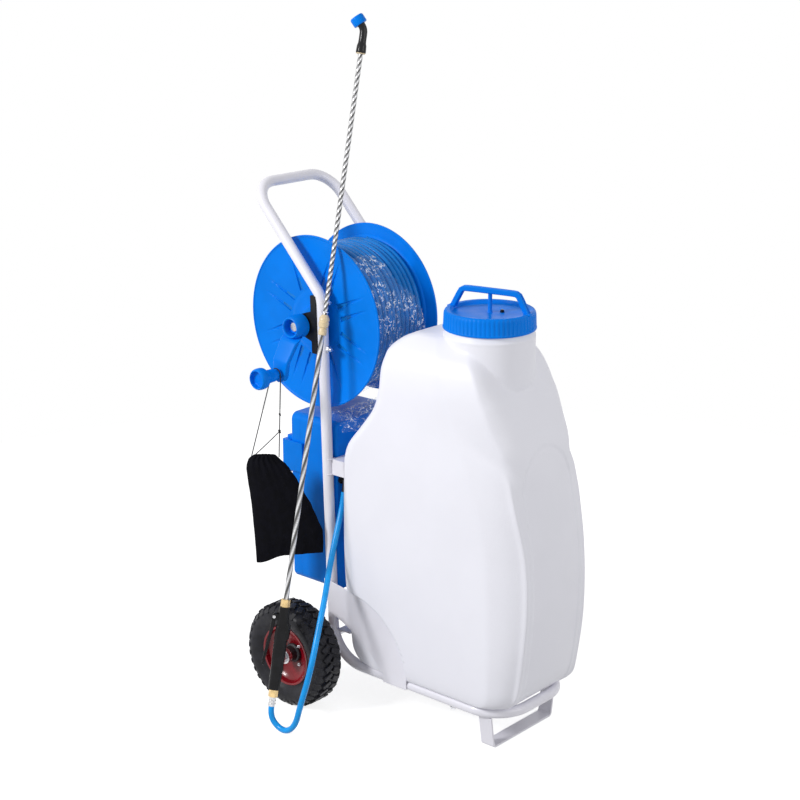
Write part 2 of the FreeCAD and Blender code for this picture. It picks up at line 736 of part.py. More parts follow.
def hexagon(across_flats, x=0, y=0):
    """Corners of a hexagon, measured across its flats."""
    half = size(across_flats) / 2
    corner = half / math.cos(math.pi / 6)
    ring = [(math.cos(math.pi / 3 * i), math.sin(math.pi / 3 * i)) for i in range(6)]
    return outline(*[(corner * c + x, corner * s + y) for c, s in ring])


def bolt(label, length, base, direction):
    """A bolt whose head starts at the base and points against the direction."""
    return turned(label, outline((-S.bolt_head_t, 0), (-S.bolt_head_t, S.bolt_head_r), (0, S.bolt_head_r),
                                 (0, S.bolt_r), (length, S.bolt_r), (length, 0)), base, direction)


frame_bolts = []
for side, name in SIDES:
    for height, level in zip(bolt_heights, ("low", "high")):
        label = f"bracket_bolt_{name}_{level}"
        x = side * S.frame_half
        back = upright_y(height) + tube_r
        front = upright_y(height) - tube_r
        frame_bolts.append(bolt(label, S.block_t + S.tube_d + S.bolt_r * 3.5,
                                (x, back + S.block_t + S.clearance, height), V(0, -1, 0)))
        frame_bolts.append(padded(label + "_nut", hexagon(S.bolt_r * 3.25), S.bolt_r * 1.6,
                                  (x, front - S.clearance, height), circles=[(0, 0, S.bolt_r + S.running)],
                                  **FLAT_FRONT))
    frame_bolts.append(bolt("tank_bolt_" + name, S.tube_d, (side * S.frame_half, behind(-S.tank_bolt),
                                                            S.rail_height - tube_r), V(0, 0, 1)))
node("frame_bolts", group("frame_bolts", *frame_bolts))

# Wheels: tyre, rim, hub and two bearings each, on one fixed axle

bead_out = S.rim_half - S.rim_t
bead_in = bead_out - S.tyre_wall
tread_half = S.tyre_half * 0.62
crown = S.wheel_r - S.bead_r
lip = S.bead_r + 4


def tyre_side(inset):
    """Right half of the tyre's section from bead to crown, inset from its outer skin."""
    return [(bead_out - inset, S.bead_r), (bead_out - inset, lip),
            (S.tyre_half * 0.9 - inset, S.bead_r + crown * 0.2),
            (S.tyre_half - inset, S.bead_r + crown * 0.45), (S.tyre_half - inset, S.bead_r + crown * 0.65),
            (S.tyre_half * 0.87 - inset, S.wheel_r - crown * 0.13 - inset), (tread_half,
                S.wheel_r - inset)]


def mirrored(points):
    return [(-x, y) for x, y in reversed(points)]


outside, inside = tyre_side(size(0)), tyre_side(S.tyre_wall)
tyre_outline = outline(*outside, *mirrored(outside), *reversed(mirrored(inside)), *reversed(inside))
well = S.bead_r - 12
rim_outline = outline(
    (S.rim_half, lip), (bead_out, lip), (bead_out, S.bead_r), (bead_in - 2, S.bead_r), (bead_in - 6, well),
    (6 - bead_in, well), (2 - bead_in, S.bead_r), (-bead_out, S.bead_r), (-bead_out, lip), (-S.rim_half,
        lip),
    (-S.rim_half, S.bead_r - S.rim_t), (4 - bead_in, S.bead_r - S.rim_t), (8 - bead_in, well - S.rim_t),
    (-S.rim_t / 2, well - S.rim_t), (-S.rim_t / 2, S.hub_r), (S.rim_t / 2, S.hub_r), (S.rim_t / 2,
        well - S.rim_t),
    (bead_in - 8, well - S.rim_t), (bead_in - 4, S.bead_r - S.rim_t), (S.rim_half, S.bead_r - S.rim_t))
hub_flange = S.hub_r + 11
hub_bore = S.bearing_r - 5
hub_outline = outline(
    (-S.hub_half, S.hub_r), (S.rim_t / 2, S.hub_r), (S.rim_t / 2, hub_flange), (S.rim_t / 2 + 4,
        hub_flange),
    (S.rim_t / 2 + 4, S.hub_r), (S.hub_half, S.hub_r), (S.hub_half, S.bearing_r),
    (S.hub_half - S.bearing_w, S.bearing_r), (S.hub_half - S.bearing_w, hub_bore),
    (S.bearing_w - S.hub_half, hub_bore), (S.bearing_w - S.hub_half, S.bearing_r), (-S.hub_half,
        S.bearing_r))
for side, name in SIDES:
    at = (side * S.wheel_track, axle_y, S.wheel_r)
    outboard = V(side, 0, 0)
    node("tyre_" + name, turned("tyre_" + name, tyre_outline, at, outboard))
    node("rim_" + name, turned("rim_" + name, rim_outline, at, outboard))
    node("hub_" + name, turned("hub_" + name, hub_outline, at, outboard))
    bearings = []
    for end, start in (("inner", -S.hub_half), ("outer", S.hub_half - S.bearing_w)):
        ring = outline((start, S.axle_r + S.running), (start + S.bearing_w, S.axle_r + S.running),
                       (start + S.bearing_w, S.bearing_r), (start, S.bearing_r))
        bearings.append(turned(f"bearing_{name}_{end}", ring, at, outboard))
    node("bearings_" + name, group("bearings_" + name, *bearings))

node("axle", rod("axle", S.axle_r, S.axle_end * 2, (-S.axle_end, axle_y, S.wheel_r), **FLAT_SIDE))
spacer_start = S.frame_half + tube_r + S.bracket_t
spacer_end = S.wheel_track - S.hub_half - S.clearance
nut_start = S.wheel_track + S.hub_half + S.clearance
spacer = outline((spacer_start, S.axle_r), (spacer_end, S.axle_r), (spacer_end, S.axle_r * 1.5),
                 (spacer_start, S.axle_r * 1.5))
node("axle_spacers", group("axle_spacers", *[
    turned("axle_spacer_" + name, spacer, (0, axle_y, S.wheel_r), V(side, 0, 0)) for side, name in SIDES]))
node("axle_nuts", group("axle_nuts", *[
    padded("axle_nut_" + name, hexagon(S.nut_af), S.nut_t,
           (nut_start if side == LEFT else -(nut_start + S.nut_t), axle_y, S.wheel_r),
           circles=[(0, 0, S.axle_r)], **FLAT_SIDE) for side, name in SIDES]))

# Reel: two flanges on a drum, the wound hose, a shaft in two bearing blocks, a swivel inlet

reel_y = behind(S.reel_back)
reel_at = (0, reel_y, S.reel_height)
flared = S.flange_in + S.flange_flare
flange_outline = outline(
    (S.flange_in, S.shaft_r), (S.flange_in, S.flange_flat_r), (flared, S.reel_r - S.flange_t), (flared,
        S.reel_r),
    (flared + S.flange_lip, S.reel_r), (flared + S.flange_lip, S.reel_r - S.flange_t),
    (flared + S.flange_t, S.reel_r - S.flange_t), (S.flange_in + S.flange_t, S.flange_flat_r),
    (S.flange_in + S.flange_t, S.boss_r), (S.boss_out, S.boss_r - 4), (S.boss_out, S.shaft_r))
# the first pair stands half a step off the vertical
half_step = size(180) / S.rib_pairs
rib_sin, rib_cos = sine(half_step), cosine(half_step)
for side, name in SIDES:
    flange = turned("reel_flange_" + name, flange_outline, reel_at, V(side, 0, 0))
    ribs = new_sketch(flange, "YZ_Plane", S.flange_in + S.flange_t)
    for middle in (S.rib_gap, -S.rib_gap):
        draw_outline(ribs, outline(*[
            (x * rib_cos - y * rib_sin, x * rib_sin + y * rib_cos)
            for x, y in ((middle - S.rib_wide / 2, S.rib_in), (middle + S.rib_wide / 2, S.rib_in),
                         (middle + S.rib_wide / 2, S.rib_out), (middle - S.rib_wide / 2, S.rib_out))]))
    rib_pad = flange.newObject("PartDesign::Pad", "rib_pad_" + name)
    rib_pad.Profile = ribs
    rib_pad.setExpression("Length", S.rib_high.formula)
    doc.recompute()
    ring = flange.newObject("PartDesign::PolarPattern", "rib_ring_" + name)
    ring.Originals = [rib_pad]
    ring.Axis = (ribs, ["N_Axis"])
    ring.Angle = 360
    ring.setExpression("Occurrences", S.rib_pairs.formula)
    flange.Tip = ring
    node("reel_flange_" + name, flange)

node("reel_drum", turned("reel_drum", rectangle(-S.flange_in, S.drum_r - S.drum_wall, S.flange_in,
    S.drum_r),
                         reel_at, V(1, 0, 0)))
core_r = S.winding_r - S.reel_hose_d / 2 - S.clearance
node("hose_core", turned("hose_core", rectangle(-S.flange_in, S.drum_r, S.flange_in, core_r), reel_at, V(1,
    0, 0)))


def biarc(start, start_dir, end, end_dir):
    """Two tangent arcs from start to end."""
    chord = end - start
    both = start_dir + end_dir
    bend = 1 - start_dir.dot(end_dir)
    reach = (-chord.dot(both) + math.sqrt(chord.dot(both) ** 2 + 2 * bend * chord.dot(chord))) / (2 * bend)
    corners = (start + start_dir * reach, end - end_dir * reach)
    middle = (corners[0] + corners[1]) * 0.5
    return [arc_in_corner(start, corners[0], middle), arc_in_corner(middle, corners[1], end)]


def arc_in_corner(start, corner, end):
    """The arc from start to end that is tangent to both lines through the corner."""
    half = (end - start).Length / 2
    foot = (start + end) * 0.5
    rise = (corner - foot).Length
    radius = half * (corner - start).Length / rise
    sag = radius - math.sqrt(radius * radius - half * half)
    return Part.Arc(start, foot + (corner - foot) * (sag / rise), end).toShape()


def winding_tube():
    """The outer layer of the reel's hose: a steady helix with short straight ends."""
    radius, pitch, turns = num(S.winding_r), num(S.winding_pitch), int(num(S.winding_turns))
    steps = turns * 4
    start_x = -pitch * turns / 2
    centre = vec(0, reel_y, S.reel_height)

    def at(step):
        angle = math.pi / 2 * step
        return centre + V(start_x + pitch * step / 4, radius * math.sin(angle), radius * math.cos(angle))

    def heading(step):
        angle = math.pi / 2 * step
        around = radius * math.pi / 2
        return V(pitch / 4, around * math.cos(angle), -around * math.sin(angle)).normalize()

    hose = num(S.reel_hose_d)
    edges = [Part.LineSegment(at(0) - heading(0) * hose, at(0)).toShape()]
    for step in range(steps):
        edges += biarc(at(step), heading(step), at(step + 1), heading(step + 1))
    edges.append(Part.LineSegment(at(steps), at(steps) + heading(steps) * hose).toShape())
    path = Part.Wire(edges)
    samples = [[edge.valueAt(edge.FirstParameter + (edge.LastParameter - edge.FirstParameter) * i / 6)
                for i in range(6)] for edge in edges[1:-1]]
    per_turn = 8
    turns_of_points = [sum(samples[i:i + per_turn], []) for i in range(0, len(samples), per_turn)]
    nearest = min((p - q).Length for one, two in zip(turns_of_points, turns_of_points[1:])
                  for p, q in zip(one, two))
    slack = nearest * math.cos(math.atan(pitch / (2 * math.pi * radius))) - hose
    print(f"outer layer of hose: {turns} turns, least gap to itself {slack:.2f} mm")
    return swept(path, hose / 2)


node("hose_winding", shaped("hose_winding", winding_tube()))
node("reel_shaft", rod("reel_shaft", S.shaft_r, S.shaft_right + S.shaft_left,
                       (-S.shaft_right, reel_y, S.reel_height), **FLAT_SIDE))


def block_edge(height, off):
    return (upright_y(height) + tube_r + off, height)


blocks = []
for side, name in SIDES:
    web = S.block_boss * 1.4
    block_outline = outline(
        block_edge(S.block_low, -tube_r / 3), block_edge(S.block_low, S.block_t),
        block_edge(S.reel_height - web, S.block_t), (reel_y, S.reel_height - S.block_boss),
        (reel_y, S.reel_height + S.block_boss, S.block_boss), block_edge(S.reel_height + web, S.block_t),
        block_edge(S.block_high, S.block_t), block_edge(S.block_high, -tube_r / 3))
    raw = padded("bearing_block_raw_" + name, block_outline, S.block_wide,
                 (side * S.frame_half - S.block_wide / 2, 0, 0),
                 circles=[(reel_y, S.reel_height, S.bush_r)], **FLAT_SIDE)
    tools = [shaped("side_bar_" + name, side_bar[side])]
    for height in bolt_heights:
        tools.append(rod("bolt_hole", S.bolt_r + S.bolt_play, S.tube_d * 2,
                         (side * S.frame_half, upright_y(height) + S.tube_d * 2, height), **FLAT_FRONT))
    blocks.append(cut("bearing_block_" + name, raw, *tools))
node("bearing_blocks", group("bearing_blocks", *blocks))
bush_outline = rectangle(S.frame_half - S.block_wide / 2, S.shaft_r + S.running,
                         S.frame_half + S.block_wide / 2, S.bush_r)
node("bearing_bushes", group("bearing_bushes", *[
    turned("bearing_bush_" + name, bush_outline, reel_at, V(side, 0, 0)) for side, name in SIDES]))

swivel_in = S.frame_half + S.block_wide / 2 + S.clearance
swivel_out = S.shaft_left + S.shaft_r
swivel_housing = turned("swivel_housing", outline(
    (swivel_in, S.shaft_r + S.running), (swivel_in, S.shaft_r * 1.6), (swivel_out, S.shaft_r * 1.6),
        (swivel_out, 0),
    (S.shaft_left + S.clearance, 0), (S.shaft_left + S.clearance, S.shaft_r + S.running)), reel_at, V(1, 0,
        0))
swivel_mid = (swivel_in + swivel_out) / 2
swivel_collar = rod("swivel_collar", S.pipe_r + 2.5, S.shaft_r * 0.8,
                    (swivel_mid, reel_y, S.reel_height - S.shaft_r * 1.2), z_dir=DOWN)
swivel_nipple = rod("swivel_nipple", S.pipe_r, S.shaft_r * 4,
                    (swivel_mid, reel_y, S.reel_height - S.shaft_r * 1.2), z_dir=DOWN)
node("reel_swivel", fuse("reel_swivel", swivel_housing, swivel_collar, swivel_nipple))

# Crank: an arm on the shaft's end and a knob that turns on a pin

knob_y = reel_y + S.crank_reach * sine(S.crank_lean)
knob_z = S.reel_height - S.crank_reach * cosine(S.crank_lean)
lean = math.radians(num(S.crank_lean))
crank_turn = dict(x_dir=V(0, math.sin(lean), -math.cos(lean)), z_dir=V(-1, 0, 0))
crank_out = S.crank_in + S.crank_t
hub_end = crank_out - S.crank_set
arm_start = S.crank_in - S.crank_set
capsule = padded("crank_capsule", outline(
    (S.crank_reach, -S.crank_end_r), (S.crank_reach, S.crank_end_r, S.crank_end_r),
    (0, S.crank_hub_r), (0, -S.crank_hub_r, S.crank_hub_r)), S.crank_t + S.crank_set, (
        -arm_start, reel_y, S.reel_height), **crank_turn)
across = dict(x_dir=crank_turn["x_dir"], z_dir=V(0, math.cos(lean), math.sin(lean)))
arm_edge = S.crank_hub_r * 1.1
edge_at = (0, reel_y - arm_edge * cosine(S.crank_lean), S.reel_height - arm_edge * sine(S.crank_lean))
arm_tip = (S.crank_reach + S.crank_end_r) * 1.1
outer_step = padded("crank_outer_step", outline(
    (-arm_edge, hub_end), (S.crank_bend, hub_end), (S.crank_bent, crank_out),
    (S.crank_bent, crank_out * 1.1), (-arm_edge, crank_out * 1.1)), arm_edge * 2, edge_at, **across)
inner_step = padded("crank_inner_step", outline(
    (S.crank_bend, arm_start), (S.crank_bend, arm_start * 0.9), (arm_tip, arm_start * 0.9),
    (arm_tip, S.crank_in), (S.crank_bent, S.crank_in)), arm_edge * 2, edge_at, **across)
arm = cut("crank_plate", capsule, outer_step, inner_step)
OUTWARDS = dict(x_dir=V(0, 1, 0), z_dir=V(-1, 0, 0))
hub = rod("crank_hub", S.crank_hub_r, arm_start - S.crank_hub_in, (
    -S.crank_hub_in, reel_y, S.reel_height), **OUTWARDS)
socket = rod("crank_socket", S.shaft_r, S.shaft_right - S.crank_hub_in, (
    -S.crank_hub_in, reel_y, S.reel_height), **OUTWARDS)
recess = rod("crank_recess", S.crank_recess_r, S.crank_recess, (
    S.crank_recess - hub_end, reel_y, S.reel_height), **OUTWARDS)
pin_long = S.knob_long - S.knob_neck
pin = rod("crank_pin", S.pin_r, pin_long, (-crank_out, knob_y, knob_z), **OUTWARDS)
node("crank_arm", fuse("crank_arm", cut("crank_body", fuse("crank_blank", arm, hub), socket, recess), pin))

head_at = S.knob_long - S.knob_head
knob_bore = S.pin_r + S.running
node("crank_knob", turned("crank_knob", outline(
    (0, knob_bore), (0, S.knob_neck_r), (S.knob_neck, S.knob_neck_r), (S.knob_neck + 3, S.knob_barrel_r),
    (head_at - 3, S.knob_barrel_r), (head_at, S.knob_r - 2), (head_at + 3, S.knob_r), (S.knob_long - 3,
        S.knob_r),
    (S.knob_long, S.knob_r - 4), (S.knob_long, 0), (pin_long + S.clearance, 0), (pin_long + S.clearance,
        knob_bore)),
    (-(crank_out + S.clearance), knob_y, knob_z), V(-1, 0, 0)))

# Tank: a blown shell in horizontal sections, its filler neck, cap and fittings

# height, back wall and front wall behind the axle, half width
TANK_SECTIONS = [
    (102.6, -140, -528, 138), (110, -118, -543, 145), (130, -99, -562, 149), (168, -91, -583, 150),
    (269, -78, -592, 150), (368, -71, -602, 150), (466, -71, -600, 150), (556, -72, -581, 150),
    (606, -75, -570, 150), (643, -89, -563, 150), (691, -128, -550, 149), (739, -163, -536, 148),
    (789, -179, -517, 145), (837, -183, -494, 139), (880, -196, -478, 126), (905, -220, -472, 108),
    (918, -246, -467, 90)]


def rounded_section(height, back, front, half, inset):
    """One horizontal section of the tank, its corners rounded."""
    scale = half / num(S.tank_half)
    x = (half - inset) * num(S.tank_half) / TANK_SECTIONS[4][3]
    y0, y1 = num(behind(front)) + inset, num(behind(back)) - inset
    fr = num(S.tank_front_r) * scale - inset
    br = num(S.tank_back_r) * scale - inset
    corners = [(x, y0, fr, -1, 1), (x, y1, br, -1, -1), (-x, y1, br, 1, -1), (-x, y0, fr, 1, 1)]
    edges = []
    points = []
    for i, (cx, cy, r, sx, sy) in enumerate(corners):
        along = V(cx, cy + sy * r, height)
        across = V(cx + sx * r, cy, height)
        mid = V(cx + sx * r * (1 - math.sqrt(0.5)), cy + sy * r * (1 - math.sqrt(0.5)), height)
        first, last = (across, along) if i % 2 == 0 else (along, across)
        points.append((first, mid, last))
    for i, (first, mid, last) in enumerate(points):
        edges.append(Part.Arc(first, mid, last).toShape())
        edges.append(Part.LineSegment(last, points[(i + 1) % 4][0]).toShape())
    return Part.Wire(edges)


def tank_loft(inset):
    wires = []
    for i, (height, back, front, half) in enumerate(TANK_SECTIONS):
        level = height + (inset if i == 0 else -inset if i == len(TANK_SECTIONS) - 1 else 0)
        wires.append(rounded_section(level, back, front, half, inset))
    return Part.makeLoft(wires, True, False)


def tank_relief(grow):
    """The step in the tank's sides that makes room for the gussets."""
    rise, low = 4 + grow, num(S.gusset_low - S.tank_back_r)
    points = [(num(behind(0)), low), (num(behind(0)), num(S.gusset_high) + rise),
              (num(behind(-S.gusset_shoulder)), num(S.gusset_shoulder_high) + rise),
              (num(behind(-S.gusset_reach)) - rise, num(S.gusset_nose)),
              (num(behind(-S.gusset_reach)) - rise, low)]
    bow = num(S.gusset_bow) + rise
    corners = [V(0, y, z) for y, z in points]
    (centre, _) = arc_through(points[2], points[3], bow)
    chord = (corners[2] + corners[3]) * 0.5
    away = (chord - V(0, *centre)).normalize()
    middle = V(0, *centre) + away * bow
    edges = [Part.LineSegment(corners[0], corners[1]).toShape(), Part.LineSegment(corners[1],
        corners[2]).toShape(),
             Part.Arc(corners[2], middle, corners[3]).toShape(), Part.LineSegment(corners[3],
                 corners[4]).toShape(),
             Part.LineSegment(corners[4], corners[0]).toShape()]
    face = Part.Face(Part.Wire(edges))
    depth = num(S.relief_depth) + grow
    steps = []
    for side, _ in SIDES:
        sheet_face = face.copy()
        sheet_face.translate(V(side * (num(S.tank_half) - depth), 0, 0))
        steps.append(sheet_face.extrude(V(side * 3 * depth, 0, 0)))
    return steps[0].fuse(steps[1])


filler = vec(0, behind(-S.cap_ahead), 0)
neck_top = S.cap_rim + S.cap_thread
wall = num(S.tank_wall)


def round_bar(radius, low, high):
    return Part.makeCylinder(num(radius), num(high) - num(low), filler + V(0, 0, num(low)), V(0, 0, 1))


dome_top = S.cap_rim - 2
tank_out = tank_loft(0).cut(tank_relief(0)).fuse([
    round_bar(S.dome_r, S.dome_low, dome_top), round_bar(S.neck_r, dome_top, neck_top)])
tank_in = tank_loft(wall).cut(tank_relief(wall)).fuse([
    round_bar(S.dome_r - wall, S.dome_low + wall, dome_top - wall),
    round_bar(S.neck_r - wall, dome_top - 2 * wall, neck_top + wall)])
tank_shell = shaped("tank_shell", tank_out.cut(tank_in).removeSplitter())
head_face = box_front + S.box_wall
pipe_hole = rod("pipe_hole", S.pipe_r + S.running, 120, (S.pipe_side, box_front, S.pipe_height),
    **FLAT_FRONT)
node("tank", cut("tank", tank_shell, pipe_hole))

pipe_drop = behind(-S.cap_ahead * 0.45)
pipe_points = [vec(S.pipe_side, pipe_drop, 118), vec(S.pipe_side, pipe_drop, S.pipe_height),
               vec(S.pipe_side, head_face, S.pipe_height)]
node("suction_pipe", fuse(
    "suction_pipe",
    shaped("suction_tube", bent_tube(pipe_points, [num(S.pipe_r) * 3], num(S.pipe_r) * 2, 1.5)),
    turned("foot_filter", outline((0, 0), (0, 16), (22, 16), (26, 8), (26, 0)),
           (S.pipe_side, pipe_drop, 107), V(0, 0, 1))))

lip_t = 2
node("tank_strainer", turned("tank_strainer", outline(
    (0, S.neck_r - S.tank_wall - 5), (0, S.neck_r - 1), (lip_t, S.neck_r - 1), (lip_t,
        S.neck_r - S.tank_wall - 1),
    (S.strainer_deep, S.neck_r - S.tank_wall - 12), (S.strainer_deep, 0),
        (S.strainer_deep - S.strainer_wall, 0),
    (S.strainer_deep - S.strainer_wall, S.neck_r - S.tank_wall - 14)),
    (0, behind(-S.cap_ahead), neck_top + lip_t), DOWN))

cap_at = (0, behind(-S.cap_ahead), S.cap_rim)
cap_under = S.cap_tall - S.cap_dish - S.cap_wall
cap_turned = turned("cap_turned", outline(
    (0, S.cap_r - S.cap_wall), (0, S.cap_r), (S.cap_tall - 5, S.cap_r), (S.cap_tall, S.cap_r - 6),
    (S.cap_tall, S.cap_r - 18), (S.cap_tall - S.cap_dish, S.cap_r - 22), (S.cap_tall - S.cap_dish, 0),
    (cap_under, 0), (cap_under, S.cap_r - S.cap_wall)), cap_at, V(0, 0, 1))
bail_way = math.radians(-90 + num(S.bail_turn))
bail_dir = V(math.cos(bail_way), math.sin(bail_way), 0)
bail_base = filler + V(0, 0, num(S.cap_rim + S.cap_tall) - 4)
bail_up = V(0, 0, num(S.bail_top - S.cap_tall) + 4)
bail_points = [bail_base - bail_dir * num(S.bail_foot), bail_base - bail_dir * num(S.bail_half) + bail_up,
               bail_base + bail_dir * num(S.bail_half) + bail_up, bail_base + bail_dir * num(S.bail_foot)]
bail = shaped("cap_bail", swept(rounded_path(bail_points, [12, 12]), num(S.bail_d / 2)))
post = rod("cap_post", S.bail_d / 3, S.bail_top - S.cap_tall + S.cap_dish, (
    0, behind(-S.cap_ahead), S.cap_rim + S.cap_tall - S.cap_dish))
node("tank_cap", fuse("tank_cap", cap_turned, bail, post))
gasket_low = cap_under - S.clearance - S.gasket_t
node("cap_gasket", turned("cap_gasket", rectangle(
    gasket_low, S.neck_r - S.tank_wall - 4, gasket_low + S.gasket_t, S.neck_r), cap_at, V(0, 0, 1)))
node("cap_breather", turned("cap_breather", outline((0, 0), (0, 4.5), (4.5, 4.5), (6.5, 3), (6.5, 0)),
                            (15, behind(-S.cap_ahead) - 22, S.cap_rim + S.cap_tall - S.cap_dish), V(0, 0,
                                1)))

# Pump box: a tub behind the uprights, a door on two pintles, a latch, battery, pump and controls


def box_prism(label, back, depth, inset):
    """A prism of the box's rounded outline, from its back face forwards."""
    low, high = S.box_low + inset, S.box_high - inset
    half = S.box_half - inset
    return padded(label, rectangle(-half, low, half, high, S.box_round - inset), depth,
                  (0, behind(back), 0), **FLAT_FRONT)


def round_far_edges(body, radius, far):
    """Round the edges of a pad's first face, which lies at the given end."""
    doc.recompute()
    pad = body.Tip
    names = []
    for i, edge in enumerate(pad.Shape.Edges, start=1):
        heights = [v.Point.z for v in edge.Vertexes] + [edge.CenterOfMass.z]
        if all(abs(z - num(far)) < 0.01 for z in heights):
            names.append(f"Edge{i}")
    fillet = body.newObject("PartDesign::Fillet", body.Name + "_round")
    fillet.Base = (pad, names)
    fillet.setExpression("Radius", size(radius).formula)
    body.Tip = fillet
    return body


def hinge_piece(label, height, length, radius, y_side):
    """A round knuckle on the hinge axis with a web to the side wall."""
    knuckle = rod(label + "_knuckle", radius, length, (S.box_half + S.hinge_out, behind(S.box_seam),
        height))
    near, far = sorted((S.box_seam + y_side * S.clearance, S.box_seam + y_side * 5), key=num)
    return fuse(label, knuckle, block(label + "_web", (S.box_half - 1, behind(near), height),
                                      (S.box_half + S.hinge_out, behind(far), height + length)))


hinge_heights = (S.hinge_low, S.hinge_high)
eye_r = S.knuckle_r + 0.5
tub = round_far_edges(box_prism("tub_outside", S.box_seam, behind(S.box_seam) - box_front, size(0)),
    S.box_wall * 2,
                      behind(S.box_seam) - box_front)
eyes = [hinge_piece(f"tub_eye_{i}", z + S.knuckle + S.clearance, S.knuckle - 6, eye_r, -1)
        for i, z in enumerate(hinge_heights)]
eye_bores = [rod(f"eye_bore_{i}", S.hinge_pin_r + S.running, S.knuckle * 2,
                 (S.box_half + S.hinge_out, behind(S.box_seam), z + S.knuckle - 3))
             for i, z in enumerate(hinge_heights)]
outlet_hole = rod("outlet_hole", S.hose_d / 2 - 1 + S.running, 30,
                  (S.outlet_side, box_front + 15, S.outlet_height), **FLAT_FRONT)
pipe_hole_box = rod("pipe_hole_box", S.pipe_r + S.running, 30, (S.pipe_side, head_face + 5, S.pipe_height),
                    **FLAT_FRONT)
tub_inside = box_prism("tub_inside", S.box_seam + 1, behind(S.box_seam) + 1 - box_front - S.box_wall,
    S.box_wall)
node("box_tub", cut("box_tub", fuse("tub_blank", tub, *eyes), tub_inside, outlet_hole, pipe_hole_box,
    *eye_bores))

door_seam = S.box_seam + S.clearance
# the door's prism starts at its back face, so its local z = 0 is the face to round
door = round_far_edges(box_prism("door_outside", S.box_back, S.box_back - door_seam, size(0)),
    S.box_wall * 2, size(0))
door_inside = box_prism("door_inside", S.box_back - S.box_wall, S.box_back - S.box_wall - door_seam + 1,
    S.box_wall)
switch_room = S.switch_tall / 2 + 1
switch_pin_r = 0.9
pivot_y = behind(S.box_back) - S.box_wall / 2
switch_pin_hole = rod("switch_pin_hole", switch_pin_r + S.running, S.switch_wide + 8,
                      (S.switch_side - S.switch_wide / 2 - 4, pivot_y, S.panel_height), **FLAT_SIDE)
switch_hole = block("switch_hole", (S.switch_side - S.switch_wide / 2 - S.clearance,
    behind(S.box_back) - 12,
                                    S.panel_height - switch_room),
                    (S.switch_side + S.switch_wide / 2 + S.clearance, behind(S.box_back) + 12,
                     S.panel_height + switch_room))
dial_spindle = 4
dial_hole = rod("dial_hole", dial_spindle + S.running, 24, (S.dial_side, behind(S.box_back) + 12,
    S.panel_height),
                **FLAT_FRONT)
knuckles = [hinge_piece(f"door_{i}", z, S.knuckle, S.knuckle_r, 1) for i, z in enumerate(hinge_heights)]
pintles = [rod(f"pintle_{i}", S.hinge_pin_r, S.knuckle * 2 - 6, (S.box_half + S.hinge_out,
    behind(S.box_seam), z))
           for i, z in enumerate(hinge_heights)]
latch_gap = 1.2
latch_y = behind(S.box_back) + latch_gap + S.latch_t / 2
lug = 8
lugs = [block(f"latch_lug_{i}", (-S.latch_in - 6, behind(S.box_back) - 1, z), (-S.latch_in + 6,
    latch_y + 5, z + lug))
        for i, z in enumerate((S.latch_low - S.clearance - lug, S.latch_high + S.clearance))]
latch_pin = rod("latch_pin", S.hinge_pin_r, S.latch_high - S.latch_low + 2 * lug, (
    -S.latch_in, latch_y, S.latch_low - lug))
node("box_door", fuse("box_door", cut("door_shell", door, door_inside, switch_hole,
                                      switch_pin_hole, dial_hole),
                      *knuckles, *pintles, *lugs, latch_pin))
latch_side = S.box_half + 0.6
latch_out = latch_side + S.latch_arm
latch_edge = 6
node("door_latch", padded("door_latch", outline(
    (-S.latch_in, latch_y - S.latch_t / 2), (-S.latch_in, latch_y + S.latch_t / 2, S.latch_t / 2),
    (latch_edge - latch_out, latch_y + S.latch_t / 2), (-latch_out, latch_y + S.latch_t / 2 - latch_edge,
        latch_edge),
    (-latch_out, behind(S.latch_reach)), (-latch_side, behind(S.latch_reach)),
    (-latch_side, latch_y - S.latch_t / 2)), S.latch_high - S.latch_low, (0, 0, S.latch_low),
    circles=[(-S.latch_in, latch_y, S.hinge_pin_r + S.running)]))

inside_low = S.box_low + S.box_wall
node("battery", block("battery", (-S.battery_long / 2, head_face, inside_low),
                      (S.battery_long / 2, head_face + S.battery_wide, inside_low + S.battery_tall)))
half_head = S.head_size / 2
pump_head = block("pump_head", (-half_head, head_face, S.pump_height - half_head),
                  (half_head, head_face + S.head_size, S.pump_height + half_head))
pump_motor = rod("pump_motor", S.motor_r, S.motor_long - half_head / 2, (half_head, head_face + half_head,
                                                                      S.pump_height), **FLAT_SIDE)
node("pump", fuse("pump", pump_head, pump_motor))

nipple_r = S.hose_d / 2 - 1
outlet_y = box_front - S.hose_d - 1
outlet_bend = vec(S.outlet_side, outlet_y, S.outlet_height)
outlet_tip = vec(S.outlet_side - 7, outlet_y - 2, S.outlet_height - S.outlet_drop)
node("outlet_elbow", fuse(
    "outlet_elbow",
    shaped("outlet_bend", swept(rounded_path(
        [vec(S.outlet_side, box_front + 9, S.outlet_height), outlet_bend, outlet_tip],
        [num(nipple_r) * 1.5]), num(nipple_r))),
    rod("outlet_nut", nipple_r * 1.5, 5, (S.outlet_side, box_front, S.outlet_height), **FLAT_FRONT),
    rod("outlet_inner_nut", nipple_r * 1.5, 5, (S.outlet_side, head_face + 5, S.outlet_height),
        **FLAT_FRONT)))

